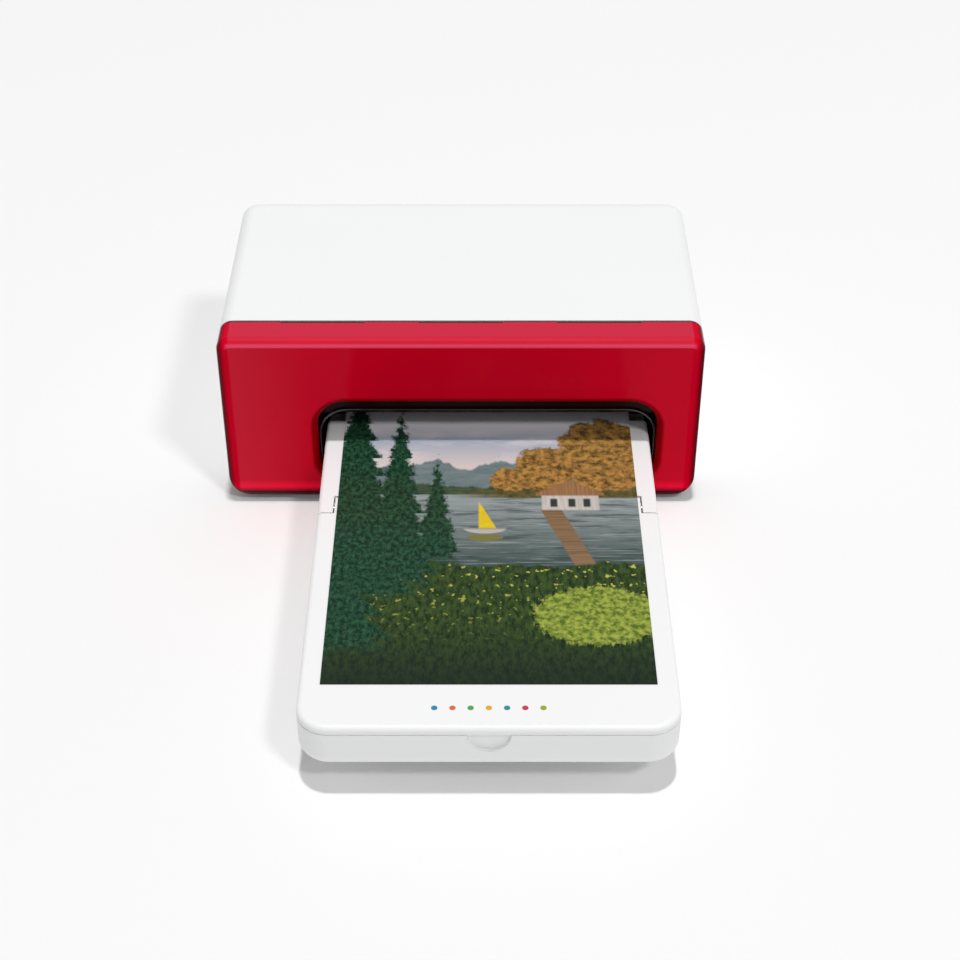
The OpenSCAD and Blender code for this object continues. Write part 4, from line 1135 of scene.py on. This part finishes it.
# finishes of the CAD pieces
cadFinish = {
    "bezel_backing": "darkLip", "throat_liner": "blackPlastic", "rubber_feet": "rubber",
    "casing_screws": "steel", "left_chassis_plate": "steel", "right_chassis_plate": "steel",
    "rear_paper_guide": "blackPlastic", "tray_guides": "blackPlastic", "board_bracket": "steel",
    "main_board": "board", "power_board": "board", "power_inlet": "blackPlastic",
    "usb_socket": "steel", "button_board": "board", "status_light": "lightPipe",
    "power_button": "whiteShell", "feed_motor": "steel", "motor_bracket": "steel",
    "motor_pinion": "brass", "roller_bushes": "gearPlastic", "gear_posts": "steel",
    "platen_roller": "rubber", "platen_gear": "gearPlastic", "grip_roller": "steel",
    "grip_gear": "gearPlastic", "pinch_roller": "rubber", "pickup_roller": "rubber",
    "pickup_gear": "gearPlastic", "exit_roller": "rubber", "exit_wheels": "blackPlastic",
    "grip_idler": "gearPlastic", "pickup_idler": "gearPlastic", "exit_idler": "gearPlastic",
    "lower_spool_idler": "gearPlastic", "upper_spool_idler": "gearPlastic",
    "takeup_hub": "gearPlastic", "supply_hub": "gearPlastic", "print_head": "aluminium",
    "head_arm": "steel", "head_pivot_pin": "steel", "cartridge_rails": "blackPlastic",
    "cartridge_shell": "blackPlastic", "ribbon_film": "ribbonFilm", "takeup_spool": "greyPlastic",
    "supply_spool": "ribbonFilm", "cartridge_door": "whiteShell", "door_hinge_pin": "steel",
    "lid_hinge_pins": "steel", "paper_lift_plate": "steel", "lift_springs": "steel",
    "paper_stack": "paper", "photo_print": "paper",
}
for name, kind in cadFinish.items():
    nodes[name].data.materials.clear()
    nodes[name].data.materials.append(finish[kind])
print("finishes given to", len(cadFinish), "CAD pieces")

studio = {
    "floorSize": 12.0,
    "skyStrength": 0.345,
    "floorGlow": 0.05,
    "floorColour": (0.9, 0.9, 0.9),
    "floorRoughness": 0.9,
    "lampDistance": 5.0,
    "overheadFrom": (0.01, 0.0, 1.0),
    "overheadSize": 0.2,
    "overheadPower": 120.0,
    "keyFrom": (0.478, -0.589, 1.0),
    "keySize": 0.6,
    "keyPower": 54.0,
}


def makeFloor():
    bm = bmesh.new()
    bmesh.ops.create_grid(bm, x_segments=1, y_segments=1, size=studio["floorSize"])
    material, tree, shader = newMaterial("paleFloor")
    shader.inputs["Base Color"].default_value = (*studio["floorColour"], 1.0)
    shader.inputs["Roughness"].default_value = studio["floorRoughness"]
    shader.inputs["Specular IOR Level"].default_value = 0.0
    path = addNode(tree, "ShaderNodeLightPath")
    seen = calc(tree, "MAXIMUM", path.outputs["Is Camera Ray"], path.outputs["Is Glossy Ray"])
    shader.inputs["Emission Color"].default_value = (1.0, 1.0, 1.0, 1.0)
    tree.links.new(calc(tree, "MULTIPLY", seen, studio["floorGlow"]), shader.inputs["Emission Strength"])
    floor = newObject("floor", bm, material)


def areaLight(name, direction, size, power):
    # a square lamp that looks at the object from far away, so that its light is even over the floor
    data = bpy.data.lights.new(name, "AREA")
    data.shape = "SQUARE"
    data.size = size
    data.energy = power
    lamp = bpy.data.objects.new(name, data)
    lamp.location = Vector(direction).normalized() * studio["lampDistance"]
    lamp.rotation_euler = (-lamp.location).to_track_quat("-Z", "Y").to_euler()
    bpy.context.scene.collection.objects.link(lamp)


def makeLight():
    world = bpy.data.worlds.new("studio")
    bpy.context.scene.world = world
    world.use_nodes = True
    sky = world.node_tree.nodes["Background"]
    tree = world.node_tree
    path = addNode(tree, "ShaderNodeLightPath")
    strength = mapTo(tree, path.outputs["Is Camera Ray"], studio["skyStrength"], 1.0, 0.0, 1.0)
    tree.links.new(strength, sky.inputs["Strength"])
    sky.inputs["Color"].default_value = (1.0, 1.0, 1.0, 1.0)
    areaLight("overhead", studio["overheadFrom"], studio["overheadSize"], studio["overheadPower"])
    areaLight("keyLight", studio["keyFrom"], studio["keySize"], studio["keyPower"])


makeFloor()
makeLight()
bpy.context.scene.view_settings.view_transform = "Standard"
print("studio made")
